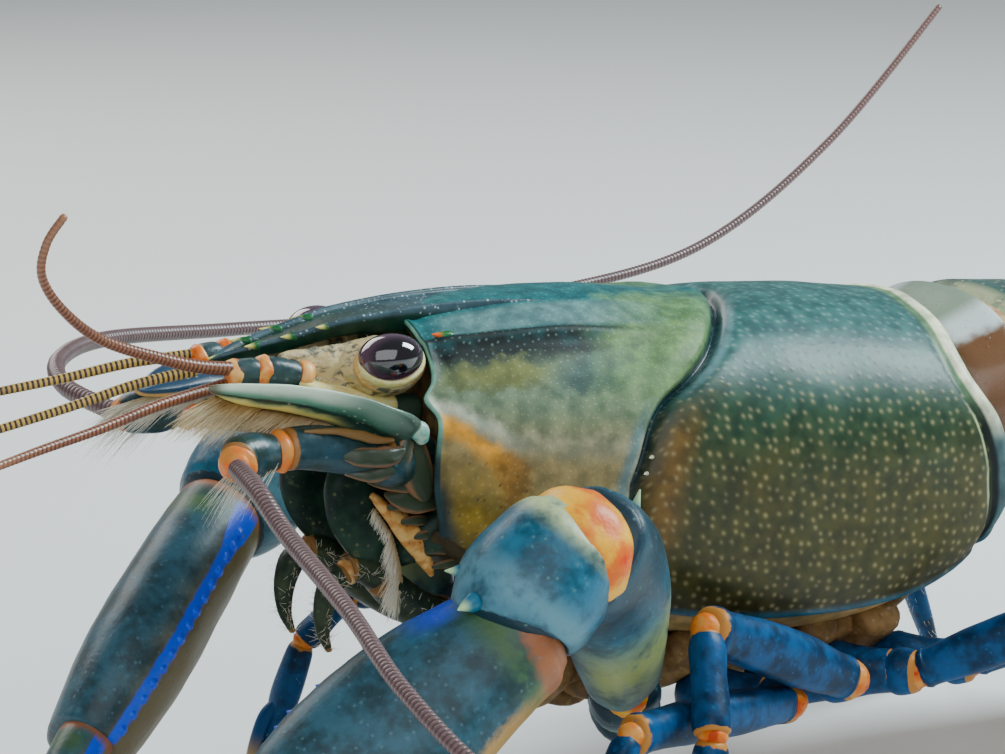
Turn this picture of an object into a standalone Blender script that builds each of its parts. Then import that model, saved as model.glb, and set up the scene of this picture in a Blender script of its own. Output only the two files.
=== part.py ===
# A freshwater crayfish at life size, standing on its legs, claw tips and tail fan.
# The animal faces -X, its left side is -Y, and the floor is Z = 0.
# Every length below is in millimetres; settle_on_origin turns the finished meshes into metres.
import math

import bmesh
import bpy
from mathutils import Matrix, Vector

METRE_PER_MM = 0.001
GAP = 0.3                      # clear space between nodes that touch
SMALLEST_FACE = 0.002          # points closer than this are joined

# Cephalothorax
ROSTRUM_TIP_X = -28.4
CARAPACE_SIDES = 32
RIM_INSET = 1.3                # width of the rims round the front and rear faces
FRONT_FACE_X = -15.7           # the sunk face that the head's limbs grow from
REAR_FACE_X = 19.2
GROOVE_DEPTH = 0.85
UPPER_ROUNDNESS = 2.2          # superellipse power above the widest line
LOWER_ROUNDNESS = 4.0
# x, top, half width, height of the widest line, bottom
CARAPACE_FORM = (
    (-17.6, 36.1, 7.3, 28.6, 23.6),
    (-14.0, 36.5, 8.4, 27.8, 20.8),
    (-9.0, 36.8, 9.5, 26.8, 18.0),
    (-3.0, 36.5, 10.5, 26.0, 15.8),
    (3.0, 35.7, 11.2, 25.4, 14.6),
    (8.0, 35.4, 11.6, 25.0, 14.2),
    (14.0, 34.9, 11.7, 24.6, 14.6),
    (18.0, 34.3, 11.5, 24.4, 16.0),
    (21.0, 33.8, 11.1, 24.4, 18.2),
    (23.0, 33.3, 10.8, 24.6, 20.8),
)
# angle from the top in degrees, x of the front rim, the cervical groove and the rear rim
CARAPACE_SEAMS = (
    (0, -16.4, 6.1, 21.3),
    (12, -16.4, 5.1, 20.5),
    (30, -16.5, 3.1, 20.2),
    (43, -16.5, 1.4, 19.9),
    (54, -16.8, -0.6, 20.0),
    (63, -17.5, -2.6, 20.6),
    (72, -16.9, -3.7, 21.4),
    (84, -17.1, -4.5, 22.0),
    (96, -17.2, -5.5, 22.4),
    (113, -16.9, -7.0, 22.3),
    (135, -16.5, -8.0, 21.6),
    (180, -16.4, -8.0, 21.2),
)
RIDGE_HEIGHT = 0.42
RIDGE_PATH = ((-15.6, 4.3, 35.35), (-12.0, 4.9, 35.35), (-8.0, 5.4, 35.2), (-4.6, 5.8, 34.85))
# x, half width, top, underside of the rostrum
ROSTRUM_FORM = (
    (-11.0, 2.3, 36.75, 33.5),
    (-16.4, 2.15, 36.7, 35.3),
    (-19.8, 1.85, 36.45, 35.45),
    (-22.0, 1.55, 36.05, 35.15),
    (-24.0, 1.3, 35.65, 34.8),
    (-26.0, 0.95, 35.25, 34.5),
    (-27.6, 0.4, 34.85, 34.25),
    (ROSTRUM_TIP_X, 0.14, 34.6, 34.35),
)
ROSTRUM_TEETH = ((-21.2, 1.55, 36.0), (-23.4, 1.3, 35.65), (-25.6, 0.95, 35.3))
TOOTH_LENGTH = 1.0
TOOTH_RADIUS = 0.36

# Eyes
EYE_CENTRE = Vector((-18.8, 4.65, 34.45))
EYE_AXIS = Vector((-0.1, 0.94, 0.33))
EYE_RADII = (2.05, 1.5, 1.75)  # along the body, upright, outward

# Limbs: base, knee and foot points for the left side, mirrored and varied for the right
STERNUM_HALF_WIDTH = 5.4
LEG_ROOT_Y = STERNUM_HALF_WIDTH + GAP
KNEE_OVERRUN = 0.7             # how far a limb piece runs past its joint before it is cut there


def smooth(rows, steps):
    """Rows of numbers along a Catmull-Rom curve through the given rows."""
    rows = [tuple(float(n) for n in row) for row in rows]
    result = []
    for i in range(len(rows) - 1):
        before, after = rows[max(i - 1, 0)], rows[min(i + 2, len(rows) - 1)]
        for k in range(steps):
            t = k / steps
            result.append(tuple(
                0.5 * (2 * b + (c - a) * t + (2 * a - 5 * b + 4 * c - d) * t * t
                       + (3 * b - a - 3 * c + d) * t ** 3)
                for a, b, c, d in zip(before, rows[i], rows[i + 1], after)))
    result.append(rows[-1])
    return result


def read_table(table, x):
    """The table's other columns at x, with straight lines between its rows."""
    rising = sorted(table)
    if x <= rising[0][0]:
        return rising[0][1:]
    for low, high in zip(rising, rising[1:]):
        if x <= high[0]:
            t = (x - low[0]) / (high[0] - low[0])
            return tuple(a + (b - a) * t for a, b in zip(low[1:], high[1:]))
    return rising[-1][1:]


def make_object(name, mesh_data):
    mesh = bpy.data.meshes.new(name)
    mesh_data.to_mesh(mesh)
    mesh_data.free()
    node = bpy.data.objects.new(name, mesh)
    bpy.context.scene.collection.objects.link(node)
    return node


def skin_rings(name, rings):
    """One closed surface over rings of points, with a flat face on each end."""
    shape = bmesh.new()
    loops = [[shape.verts.new(point) for point in ring] for ring in rings]
    count = len(loops[0])
    for low, high in zip(loops, loops[1:]):
        for i in range(count):
            j = (i + 1) % count
            shape.faces.new((low[i], low[j], high[j], high[i]))
    for loop in (loops[0], loops[-1]):
        shape.faces.new(loop)
    bmesh.ops.triangulate(shape, faces=shape.faces)
    bmesh.ops.recalc_face_normals(shape, faces=shape.faces)
    return make_object(name, shape)


def rod(name, stations, side, sides=8, steps=2, square=2.0):
    """A tapering rod. Each station is x, y, z, half width along side, half thickness."""
    rows = smooth(stations, steps)
    centres = [Vector(row[:3]) for row in rows]
    rings = []
    for i, (centre, row) in enumerate(zip(centres, rows)):
        along = (centres[min(i + 1, len(rows) - 1)] - centres[max(i - 1, 0)]).normalized()
        wide = (Vector(side) - along * along.dot(Vector(side))).normalized()
        thick = along.cross(wide)
        ring = []
        for k in range(sides):
            turn = 2 * math.pi * (k + 0.5) / sides
            c, s = math.cos(turn), math.sin(turn)
            c = math.copysign(abs(c) ** (2 / square), c)
            s = math.copysign(abs(s) ** (2 / square), s)
            ring.append(centre + wide * c * row[3] + thick * s * row[4])
        rings.append(ring)
    return skin_rings(name, rings)


def cut_off(node, point, normal):
    """Removes what lies on the normal's side of a plane, and closes the cut."""
    shape = bmesh.new()
    shape.from_mesh(node.data)
    everything = shape.verts[:] + shape.edges[:] + shape.faces[:]
    cut = bmesh.ops.bisect_plane(shape, geom=everything, plane_co=point, plane_no=normal,
                                 dist=1e-5, clear_outer=True)
    rim = [e for e in cut["geom_cut"] if isinstance(e, bmesh.types.BMEdge) and e.is_boundary]
    if rim:
        bmesh.ops.contextual_create(shape, geom=rim)
    bmesh.ops.remove_doubles(shape, verts=shape.verts, dist=SMALLEST_FACE)
    bmesh.ops.triangulate(shape, faces=[f for f in shape.faces if len(f.verts) > 4])
    bmesh.ops.recalc_face_normals(shape, faces=shape.faces)
    shape.to_mesh(node.data)
    shape.free()
    return node


def keep_largest(node):
    """Keeps the largest closed surface of a mesh."""
    shape = bmesh.new()
    shape.from_mesh(node.data)
    bmesh.ops.remove_doubles(shape, verts=shape.verts, dist=SMALLEST_FACE)
    left = set(shape.faces)
    islands = []
    while left:
        island, front = set(), [left.pop()]
        while front:
            face = front.pop()
            island.add(face)
            for edge in face.edges:
                for other in edge.link_faces:
                    if other in left:
                        left.remove(other)
                        front.append(other)
        islands.append(island)
    islands.sort(key=lambda faces: sum(f.calc_area() for f in faces), reverse=True)
    for island in islands[1:]:
        bmesh.ops.delete(shape, geom=list(island), context="FACES")
    bmesh.ops.triangulate(shape, faces=[f for f in shape.faces if len(f.verts) > 4])
    bmesh.ops.recalc_face_normals(shape, faces=shape.faces)
    shape.to_mesh(node.data)
    shape.free()
    return node


def fuse(node, pieces):
    """Joins pieces to a node with one Boolean union and keeps one closed surface."""
    group = bpy.data.collections.new(node.name + "_pieces")
    bpy.context.scene.collection.children.link(group)
    for piece in pieces:
        bpy.context.scene.collection.objects.unlink(piece)
        group.objects.link(piece)
    union = node.modifiers.new("union", "BOOLEAN")
    union.operand_type = "COLLECTION"
    union.collection = group
    union.operation = "UNION"
    union.solver = "MANIFOLD"
    with bpy.context.temp_override(object=node, active_object=node):
        bpy.ops.object.modifier_apply(modifier=union.name)
    for piece in pieces:
        bpy.data.objects.remove(piece)
    bpy.data.collections.remove(group)
    return keep_largest(node)


def finish(node, colour, roughness=0.35, metallic=0.0):
    """Gives a node its material and smooth shading."""
    name = colour[0]
    material = bpy.data.materials.get(name) or bpy.data.materials.new(name)
    material.use_nodes = True
    shader = material.node_tree.nodes["Principled BSDF"]
    shader.inputs["Base Color"].default_value = (*colour[1], 1.0)
    shader.inputs["Roughness"].default_value = roughness
    shader.inputs["Metallic"].default_value = metallic
    node.data.materials.clear()
    node.data.materials.append(material)
    node.data.shade_smooth()
    node.data.set_sharp_from_angle(angle=math.radians(40))
    return node


# Colours of the living shell
SHELL_TEAL = ("shell_teal", (0.07, 0.20, 0.18))
LIMB_BLUE = ("limb_blue", (0.03, 0.12, 0.24))
JOINT_ORANGE = ("joint_orange", (0.60, 0.22, 0.04))
PALE_CREAM = ("pale_cream", (0.62, 0.55, 0.36))
EYE_BLACK = ("eye_black", (0.02, 0.01, 0.02))
FEELER_BROWN = ("feeler_brown", (0.16, 0.05, 0.03))
UNDER_OLIVE = ("under_olive", (0.22, 0.17, 0.08))


def carapace_point(x, degrees, inset=0.0):
    """A point of the carapace at x and an angle from the top, moved in by inset."""
    top, half_width, widest, bottom = read_table(CARAPACE_FORM, x)
    turn = math.radians(degrees)
    c, s = math.cos(turn), math.sin(turn)
    power = UPPER_ROUNDNESS if c >= 0 else LOWER_ROUNDNESS
    reach = top - widest if c >= 0 else widest - bottom
    y = half_width * math.copysign(abs(s) ** (2 / power), s)
    z = reach * math.copysign(abs(c) ** (2 / power), c)
    if inset:
        length = math.hypot(y, z)
        y, z = y * (1 - inset / length), z * (1 - inset / length)
    return Vector((x, y, widest + z))


def carapace_shell():
    """The carapace with its rims and the cervical groove, as rings from front to rear."""
    def ring(place, inset):
        points = []
        for k in range(CARAPACE_SIDES):
            degrees = 360 * k / CARAPACE_SIDES
            seams = read_table(CARAPACE_SEAMS, min(degrees, 360 - degrees))
            x = place(*seams)
            depth = inset
            if min(degrees, 360 - degrees) > 100:
                depth *= max(0.0, 1 - (min(degrees, 360 - degrees) - 100) / 30)
            points.append(carapace_point(x, degrees, depth))
        return points

    rings = []
    for offset, inset in ((0.0, 0.25), (0.3, -0.08), (0.9, 0.15), (1.6, 0.0)):
        rings.append(ring(lambda front, groove, rear, o=offset: front + o, inset))
    for part in (0.26, 0.42, 0.58, 0.74):
        rings.append(ring(lambda front, groove, rear, p=part: front + p * (groove - front), 0.0))
    for offset, inset in ((-1.9, 0.0), (-0.9, 0.12), (-0.3, 0.55), (0.1, 1.0), (0.6, 0.75),
                          (1.4, 0.1)):
        rings.append(ring(lambda front, groove, rear, o=offset: groove + o,
                          inset * GROOVE_DEPTH))
    for part in (0.22, 0.4, 0.58, 0.76):
        rings.append(ring(lambda front, groove, rear, p=part: groove + p * (rear - groove), 0.0))
    for offset, inset in ((-1.9, 0.0), (-1.45, 0.35), (-1.0, 0.0), (-0.3, -0.1), (0.0, 0.25)):
        rings.append(ring(lambda front, groove, rear, o=offset: rear + o, inset))

    def recess(x):
        return [carapace_point(x, 360 * k / CARAPACE_SIDES, RIM_INSET) for k in range(CARAPACE_SIDES)]
    rings.insert(0, recess(FRONT_FACE_X))
    rings.append(recess(REAR_FACE_X))
    return skin_rings("carapace", rings)


def rostrum():
    """The pointed plate between the eyes, with raised edges."""
    rings = []
    for x, half_width, top, under in smooth(ROSTRUM_FORM, 2):
        edge = min(0.18, half_width * 0.4)
        rings.append([
            Vector((x, half_width, top)), Vector((x, half_width - edge, top + edge * 0.4)),
            Vector((x, half_width - 2 * edge, top - edge * 0.5)),
            Vector((x, 0, top - edge * 1.2)),
            Vector((x, 2 * edge - half_width, top - edge * 0.5)),
            Vector((x, edge - half_width, top + edge * 0.4)), Vector((x, -half_width, top)),
            Vector((x, -half_width * 0.8, under)), Vector((x, 0, under - edge * 0.8)),
            Vector((x, half_width * 0.8, under))])
    return skin_rings("rostrum", rings)


def spine(root, direction, length, radius, sides=5):
    """A small pointed cone whose root lies inside what it grows from."""
    root, direction = Vector(root), Vector(direction).normalized()
    side = Vector((0, 0, 1)) if abs(direction.z) < 0.7 else Vector((0, 1, 0))
    stations = [(*(root - direction * radius), radius, radius),
                (*(root + direction * length * 0.4), radius * 0.7, radius * 0.7),
                (*(root + direction * length), radius * 0.15, radius * 0.15)]
    return rod("spine", stations, side, sides=sides, steps=1)


def build_carapace():
    shell = carapace_shell()
    pieces = [rostrum()]
    for s in (-1, 1):
        for x, y, z in ROSTRUM_TEETH:
            pieces.append(spine((x, s * (y - 0.1), z - 0.1), (-1, s * 0.35, 0.15),
                                TOOTH_LENGTH, TOOTH_RADIUS))
        path = [(x, s * y, z, 0.5 if i else 0.3, RIDGE_HEIGHT if i in (1, 2) else 0.3)
                for i, (x, y, z) in enumerate(RIDGE_PATH)]
        pieces.append(rod("ridge", path, (0, 1, 0), sides=6, steps=2))
        x, y, z = RIDGE_PATH[0]
        pieces.append(spine((x + 0.3, s * y, z), (-1, s * 0.1, 0.25), 1.1, 0.34))
        for height, lateral in ((29.2, 9.3), (27.9, 9.5), (26.6, 9.6)):
            x = -8.2 + (29.2 - height) * 0.2
            pieces.append(spine((x, s * lateral, height), (-0.8, s * 0.7, 0.1), 0.6, 0.28))
    return finish(fuse(shell, pieces), SHELL_TEAL, 0.25)


def build_thorax_underside():
    """The sternal keel between the legs, under the carapace."""
    stations = []
    for x, under, half_width in ((-10.5, 14.4, 4.2), (-8, 12.4, 5.0), (-4, 10.0, 5.4),
                                 (3, 8.8, 5.4), (10, 8.4, 5.4), (16, 8.8, 5.4), (19.4, 11.5, 4.4)):
        bottom = read_table(CARAPACE_FORM, x)[3] - 2 * GAP
        stations.append((x, 0, (bottom + under) / 2, half_width, (bottom - under) / 2))
    keel = rod("thorax_underside", stations, (0, 1, 0), sides=12, steps=1, square=5)
    return finish(keel, UNDER_OLIVE, 0.5)


def build_mouth():
    """Epistome and mandibles, low in front of the carapace."""
    root_x = FRONT_FACE_X - GAP
    plate = rod("mouthparts", [(root_x, 0, 25.3, 4.0, 1.3), (-17.0, 0, 25.4, 4.0, 1.3),
                               (-18.2, 0, 25.8, 3.2, 1.0), (-18.9, 0, 26.2, 2.2, 0.6)],
                (0, 1, 0), sides=12, steps=1, square=2.6)
    brow = rod("epistome", [(root_x, 0, 27.6, 2.4, 1.4), (-17.4, 0, 27.8, 2.4, 1.3),
                            (-19.2, 0, 28.2, 1.4, 0.8), (-20.0, 0, 28.5, 0.5, 0.4)],
               (0, 1, 0), sides=10, steps=1)
    pieces = [brow]
    for s in (-1, 1):
        pieces.append(rod("mandible", [(-16.6, s * 2.0, 25.6, 0.9, 0.9), (-17.4, s * 2.1, 24.7, 1.7, 1.2),
                                       (-18.0, s * 1.9, 23.5, 1.4, 0.9), (-18.2, s * 1.5, 22.9, 0.5, 0.4)],
                          (0, 1, 0), sides=8, steps=1))
    return finish(fuse(plate, pieces), SHELL_TEAL, 0.4)


def build_head_pairs(s, label):
    """Eye, feeler bases, scale and third maxilliped of one side."""
    root_x = FRONT_FACE_X - GAP

    axis = Vector((EYE_AXIS.x, s * EYE_AXIS.y, EYE_AXIS.z)).normalized()
    centre = Vector((EYE_CENTRE.x, s * EYE_CENTRE.y, EYE_CENTRE.z))
    along_body, upright, outward = EYE_RADII
    layers = []
    for t in (-1.0, -0.92, -0.7, -0.35, 0.0, 0.35, 0.7, 0.92, 1.0):
        r = max(math.sqrt(1 - t * t), 0.12)
        layers.append((*(centre + axis * t * outward), along_body * r, upright * r))
    ball = rod("eye_" + label, layers, (1, 0, 0), sides=14, steps=1)
    seat = centre - axis * 0.55
    cut_off(ball, seat, -axis)
    finish(ball, EYE_BLACK, 0.06)

    stalk = rod("eyestalk_" + label,
                [(-20.4, s * 0.6, 33.6, 0.6, 0.5), (-20.3, s * 1.6, 33.75, 1.4, 1.0),
                 (-19.8, s * 2.7, 33.9, 1.9, 1.4), (*(seat - axis * 0.8), 2.1, 1.65),
                 (*(seat + axis * 0.6), 2.0, 1.6)], (1, 0, 0), sides=12, steps=1)
    cut_off(stalk, seat - axis * GAP, axis)
    neck = rod("neck", [(root_x, s * 1.5, 33.2, 0.8, 0.8), (-17.6, s * 1.6, 33.4, 0.75, 0.75),
                        (-19.6, s * 1.9, 33.7, 0.8, 0.8)], (0, 0, 1), sides=8, steps=1)
    finish(fuse(stalk, [neck]), PALE_CREAM, 0.5)

    antennule = rod("antennule_" + label,
                    [(root_x, s * 2.1, 30.7, 1.1, 0.9), (-19.0, s * 2.2, 30.9, 1.15, 0.95),
                     (-21.6, s * 2.3, 31.6, 1.1, 0.9), (-23.6, s * 2.4, 33.0, 1.1, 1.0),
                     (-24.0, s * 2.4, 33.25, 0.85, 0.85), (-26.0, s * 2.3, 33.75, 0.95, 0.9),
                     (-26.3, s * 2.3, 33.8, 0.75, 0.75), (-27.7, s * 2.2, 34.0, 0.85, 0.85),
                     (-28.0, s * 2.2, 34.05, 0.8, 0.8)], (0, 1, 0), sides=10, steps=1)
    finish(antennule, PALE_CREAM, 0.4)

    drop = 0.0 if s < 0 else -0.9
    tip_z = 0.0 if s < 0 else -2.0
    scale = rod("antennal_scale_" + label,
                [(-18.5, s * 6.1, 30.75, 0.9, 0.6), (-19.6, s * 6.7, 31.7 + drop * 0.2, 1.3, 0.45),
                 (-22.4, s * 6.5, 32.45 + drop * 0.4, 1.55, 0.36),
                 (-25.5, s * 6.1, 33.0 + drop * 0.8, 1.5, 0.32),
                 (-28.4, s * 5.6, 33.55 + tip_z * 0.7, 1.15, 0.3),
                 (-30.2, s * 5.2, 33.95 + tip_z, 0.5, 0.26), (-30.8, s * 5.15, 34.1 + tip_z, 0.16, 0.16)],
                (0, -s * 0.75, -0.66), sides=8, steps=1)
    finish(scale, SHELL_TEAL, 0.35)

    peduncle = rod("antenna_" + label,
                   [(root_x, s * 4.3, 28.2, 1.15, 1.1), (-17.8, s * 4.6, 28.3, 1.3, 1.2),
                    (-19.4, s * 5.9, 28.6, 1.6, 1.5), (-20.2, s * 6.1, 28.9, 1.1, 1.1),
                    (-22.8, s * 6.1, 29.8, 1.15, 1.15), (-23.4, s * 6.1, 29.95, 0.95, 0.95),
                    (-26.4, s * 6.2, 30.2, 1.25, 1.2), (-27.0, s * 6.3, 30.2, 0.95, 0.95),
                    (-29.4, s * 6.8, 30.2, 1.3, 1.2), (-30.2, s * 7.5, 30.1, 1.2, 1.1),
                    (-30.5, s * 8.2, 30.0, 0.9, 0.9)], (0, 0, 1), sides=10, steps=1)
    finish(peduncle, LIMB_BLUE, 0.3)

    maxilliped = rod("maxilliped_" + label,
                     [(-11.3, s * 2.5, 16.2, 1.1, 1.0), (-13.4, s * 2.7, 16.8, 1.5, 1.2),
                      (-16.4, s * 2.9, 18.6, 1.6, 1.2), (-18.6, s * 2.9, 20.6, 1.3, 1.0),
                      (-20.2, s * 2.8, 21.6, 1.0, 0.85), (-21.6, s * 2.7, 20.9, 0.95, 0.75),
                      (-22.3, s * 2.6, 19.2, 0.75, 0.6), (-22.3, s * 2.5, 17.6, 0.5, 0.4),
                      (-21.8, s * 2.4, 16.4, 0.2, 0.2)], (0, 1, 0), sides=8, steps=1)
    finish(maxilliped, JOINT_ORANGE, 0.5)


# Paths of the antennule flagella, left then right, and of the long antennal flagella
ANTENNULE_WHIPS = {
    "antennule_whip_outer_left": (0.44, 0.24, ((-28.3, -2.6, 34.5), (-30.6, -3.2, 35.0), (-33.3, -4.0, 35.9),
                                               (-37.6, -5.5, 37.7), (-40.6, -7.0, 40.0),
                                               (-42.2, -8.0, 42.2), (-42.3, -9.0, 44.2),
                                               (-41.7, -10.0, 45.8))),
    "antennule_whip_inner_left": (0.40, 0.25, ((-28.3, -2.2, 33.5), (-33.4, -4.0, 33.2), (-37.8, -5.5, 32.6),
                                               (-42.4, -7.2, 32.2), (-46.6, -8.6, 31.7))),
    "antennule_whip_outer_right": (0.36, 0.25, ((-28.3, 2.5, 34.4), (-32.0, 3.0, 34.2), (-36.0, 3.6, 33.6),
                                                (-40.0, 4.2, 33.1), (-44.4, 4.8, 32.6))),
    "antennule_whip_inner_right": (0.36, 0.25, ((-28.3, 2.0, 33.5), (-32.0, 2.4, 33.0), (-36.0, 2.9, 32.0),
                                                (-40.4, 3.2, 31.1), (-44.8, 3.6, 30.2))),
}
ANTENNA_WHIPS = {
    "left": ((-30.9, -8.7, 29.95), (-31.1, -12.0, 29.4), (-31.3, -16.0, 27.8), (-32.3, -25.0, 25.9),
             (-33.2, -33.0, 23.6), (-31.8, -40.5, 20.5), (-26.0, -46.0, 16.8), (-17.0, -49.0, 13.8),
             (-6.0, -50.0, 12.2), (6.0, -49.0, 12.4)),
    "right": ((-30.9, 8.7, 29.95), (-31.8, 13.0, 30.8), (-30.0, 18.0, 31.4), (-24.0, 24.0, 31.0),
              (-12.0, 30.5, 29.2), (2.0, 35.0, 27.8), (18.0, 38.2, 27.6), (32.0, 40.2, 29.4),
              (45.0, 42.6, 35.8), (57.0, 45.0, 45.2)),
}
WHIP_PARTS = ("base", "middle", "end")
WHIP_RADII = (0.62, 0.28)


def whip(name, path, thick, thin, sides=6, steps=2):
    """A feeler that tapers from thick to thin along its path."""
    count = len(path) - 1
    stations = [(*p, thick + (thin - thick) * i / count, thick + (thin - thick) * i / count)
                for i, p in enumerate(path)]
    return finish(rod(name, stations, (0.1, 0.2, 1), sides=sides, steps=steps), FEELER_BROWN, 0.4)


def build_whips():
    for name, (thick, thin, path) in ANTENNULE_WHIPS.items():
        whip(name, path, thick, thin)
    for label, path in ANTENNA_WHIPS.items():
        fine = smooth(path, 4)
        size = (len(fine) - 1) // len(WHIP_PARTS)
        for k, part in enumerate(WHIP_PARTS):
            first, last = k * size, (k + 1) * size
            points = [Vector(p) for p in fine[first:last + 1]]
            if k:
                points[0] = points[0] + (points[1] - points[0]).normalized() * GAP
            radii = [WHIP_RADII[0] + (WHIP_RADII[1] - WHIP_RADII[0]) * (first + i) / (len(fine) - 1)
                     for i in range(len(points))]
            stations = [(*p, r, r) for p, r in zip(points, radii)]
            node = rod(f"antenna_whip_{label}_{part}", stations, (0.1, 0.2, 1), sides=6, steps=1)
            finish(node, FEELER_BROWN, 0.4)


def limb(name, start, end, profile, side, start_cut=None, end_cut=None, sides=10, steps=2,
         square=2.4, colour=LIMB_BLUE, extras=()):
    """A limb piece between two joints. Each profile row is the fraction of the way, half
    width, half thickness, and a shift along side. Each cut is a joint's plane."""
    start, end = Vector(start), Vector(end)
    along = (end - start).normalized()
    wide = (Vector(side) - along * along.dot(Vector(side))).normalized()
    stations = [(*(start + (end - start) * t + wide * shift), w, h) for t, w, h, shift in profile]
    node = rod(name, stations, side, sides=sides, steps=steps, square=square)
    if extras:
        fuse(node, list(extras))
    for cut in (start_cut, end_cut):
        if cut:
            cut_off(node, *cut)
    return finish(node, colour, 0.3)


def joint_plane(before, joint, after):
    """The plane halfway through a bend, as its point and its normal along the limb."""
    into = (Vector(joint) - Vector(before)).normalized()
    out = (Vector(after) - Vector(joint)).normalized()
    return Vector(joint), (into + out).normalized()


def cut_after(plane):
    point, normal = plane
    return point - normal * GAP / 2, normal


def cut_before(plane):
    point, normal = plane
    return point + normal * GAP / 2, -normal


# Chelipeds: sternum, merus base, elbow, palm root and direction of the claw
CHELIPEDS = {
    "left": {"s": -1, "root": (-3.0, -LEG_ROOT_Y, 10.6), "ischium": (-6.7, -11.6, 14.0),
             "elbow": (-13.8, -19.8, 26.0), "palm": (-20.0, -19.4, 21.4),
             "claw": (-0.79, -0.03, -0.60), "wide": (0.05, 0.60, 0.80)},
    "right": {"s": 1, "root": (-3.0, LEG_ROOT_Y, 10.6), "ischium": (-6.8, 11.6, 13.6),
              "elbow": (-13.2, 18.6, 23.8), "palm": (-20.6, 15.2, 20.6),
              "claw": (-0.685, -0.385, -0.61), "wide": (0.05, -0.60, 0.80)},
}
# distance along the claw, half width, half thickness, shift towards the inner edge
PALM_FORM = ((-1.2, 1.6, 1.4, 0.0), (0.0, 2.7, 2.3, 0.0), (2.2, 3.7, 2.9, 0.1), (6.0, 4.8, 3.3, 0.1),
             (11.0, 5.4, 3.4, 0.0), (15.0, 5.2, 3.1, -0.2), (19.6, 4.3, 2.5, -0.6))
PALM_LENGTH = 18.5             # to the hinge of the moving finger
FIXED_FINGER = ((14.0, 2.0, 1.8, -2.6), (18.0, 2.3, 2.1, -2.8), (22.0, 2.1, 1.8, -2.8),
                (27.0, 1.6, 1.35, -2.2), (31.0, 1.0, 0.9, -1.3), (33.4, 0.45, 0.45, -0.5))
MOVING_FINGER = ((17.8, 1.5, 1.6, 2.0), (20.0, 1.8, 1.8, 2.15), (23.0, 1.75, 1.6, 2.3),
                 (27.5, 1.35, 1.2, 2.1), (31.0, 0.85, 0.8, 1.5), (33.2, 0.4, 0.4, 0.9))
DENTICLES = 11


def build_cheliped(label):
    plan = CHELIPEDS[label]
    s = plan["s"]
    name = "cheliped_" + label
    root, ischium = Vector(plan["root"]), Vector(plan["ischium"])
    elbow, palm = Vector(plan["elbow"]), Vector(plan["palm"])
    claw = Vector(plan["claw"]).normalized()
    wide = Vector(plan["wide"])
    wide = (wide - claw * claw.dot(wide)).normalized()
    thick = claw.cross(wide)

    hip = joint_plane(root, ischium, elbow)
    bend = joint_plane(ischium, elbow, palm)
    wrist = joint_plane(elbow, palm, palm + claw)
    limb(name + "_base", root, ischium, ((0, 1.9, 1.9, 0), (0.3, 2.1, 2.0, 0), (0.45, 1.7, 1.7, 0),
                                         (0.75, 2.2, 1.8, 0), (1.0, 2.2, 1.8, 0), (1.12, 1.8, 1.5, 0)),
         (1, 0, 0.3), start_cut=(root, (0, -s, 0)), end_cut=cut_after(hip), sides=10, steps=1,
         colour=UNDER_OLIVE)
    merus_side = (0.75, -s * 0.2, 0.4)
    merus_extras = [spine(ischium + (elbow - ischium) * 0.93 + Vector((1.2, -s * 0.6, 2.2)),
                          (0.2, s * 0.1, 1), 1.5, 0.5)]
    limb(name + "_merus", ischium, elbow,
         ((-0.12, 1.4, 1.2, 0), (0.0, 2.0, 1.8, 0), (0.25, 2.8, 2.3, 0.3), (0.55, 3.5, 2.9, 0.5),
          (0.8, 3.8, 3.2, 0.4), (1.0, 3.7, 3.2, 0.2), (1.15, 2.9, 2.6, 0)),
         merus_side, start_cut=cut_before(hip), end_cut=cut_after(bend), sides=14, steps=1,
         extras=merus_extras)
    carpus_extras = [spine(elbow + (palm - elbow) * 0.62 + Vector((-1.9, -s * 1.9, 1.9)),
                           (-0.5, -s * 0.6, 0.4), 1.3, 0.5)]
    limb(name + "_carpus", elbow, palm,
         ((-0.42, 2.6, 2.6, 0), (-0.1, 3.6, 3.5, 0), (0.3, 4.2, 4.1, 0), (0.7, 4.1, 4.0, 0),
          (1.05, 3.2, 3.2, 0), (1.25, 2.2, 2.2, 0)),
         wide, start_cut=cut_before(bend), end_cut=cut_after(wrist), sides=14, steps=1,
         extras=carpus_extras)

    def along_claw(rows):
        return [(*(palm + claw * d + wide * shift), w, h) for d, w, h, shift in rows]

    hand = rod(name + "_palm", along_claw(PALM_FORM), wide, sides=14, steps=1, square=2.4)
    cut_off(hand, palm + claw * PALM_LENGTH, claw)
    pieces = [rod("finger", along_claw(FIXED_FINGER), wide, sides=10, steps=1)]
    for i in range(DENTICLES):
        d = 3.0 + 14.0 * i / (DENTICLES - 1)
        w, h, shift = read_table(PALM_FORM, d)
        pieces.append(spine(palm + claw * d + wide * (shift + w - 0.2),
                            wide + claw * 0.25, 0.55, 0.34, sides=5))
    fuse(hand, pieces)
    cut_off(hand, *cut_before(wrist))
    cut_off(hand, Vector((0, 0, 0)), Vector((0, 0, -1)))
    finish(hand, LIMB_BLUE, 0.3)

    finger = rod(name + "_finger", along_claw(MOVING_FINGER), wide, sides=10, steps=1)
    cut_off(finger, palm + claw * (PALM_LENGTH + GAP), -claw)
    cut_off(finger, Vector((0, 0, 0)), Vector((0, 0, -1)))
    finish(finger, LIMB_BLUE, 0.3)


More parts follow.
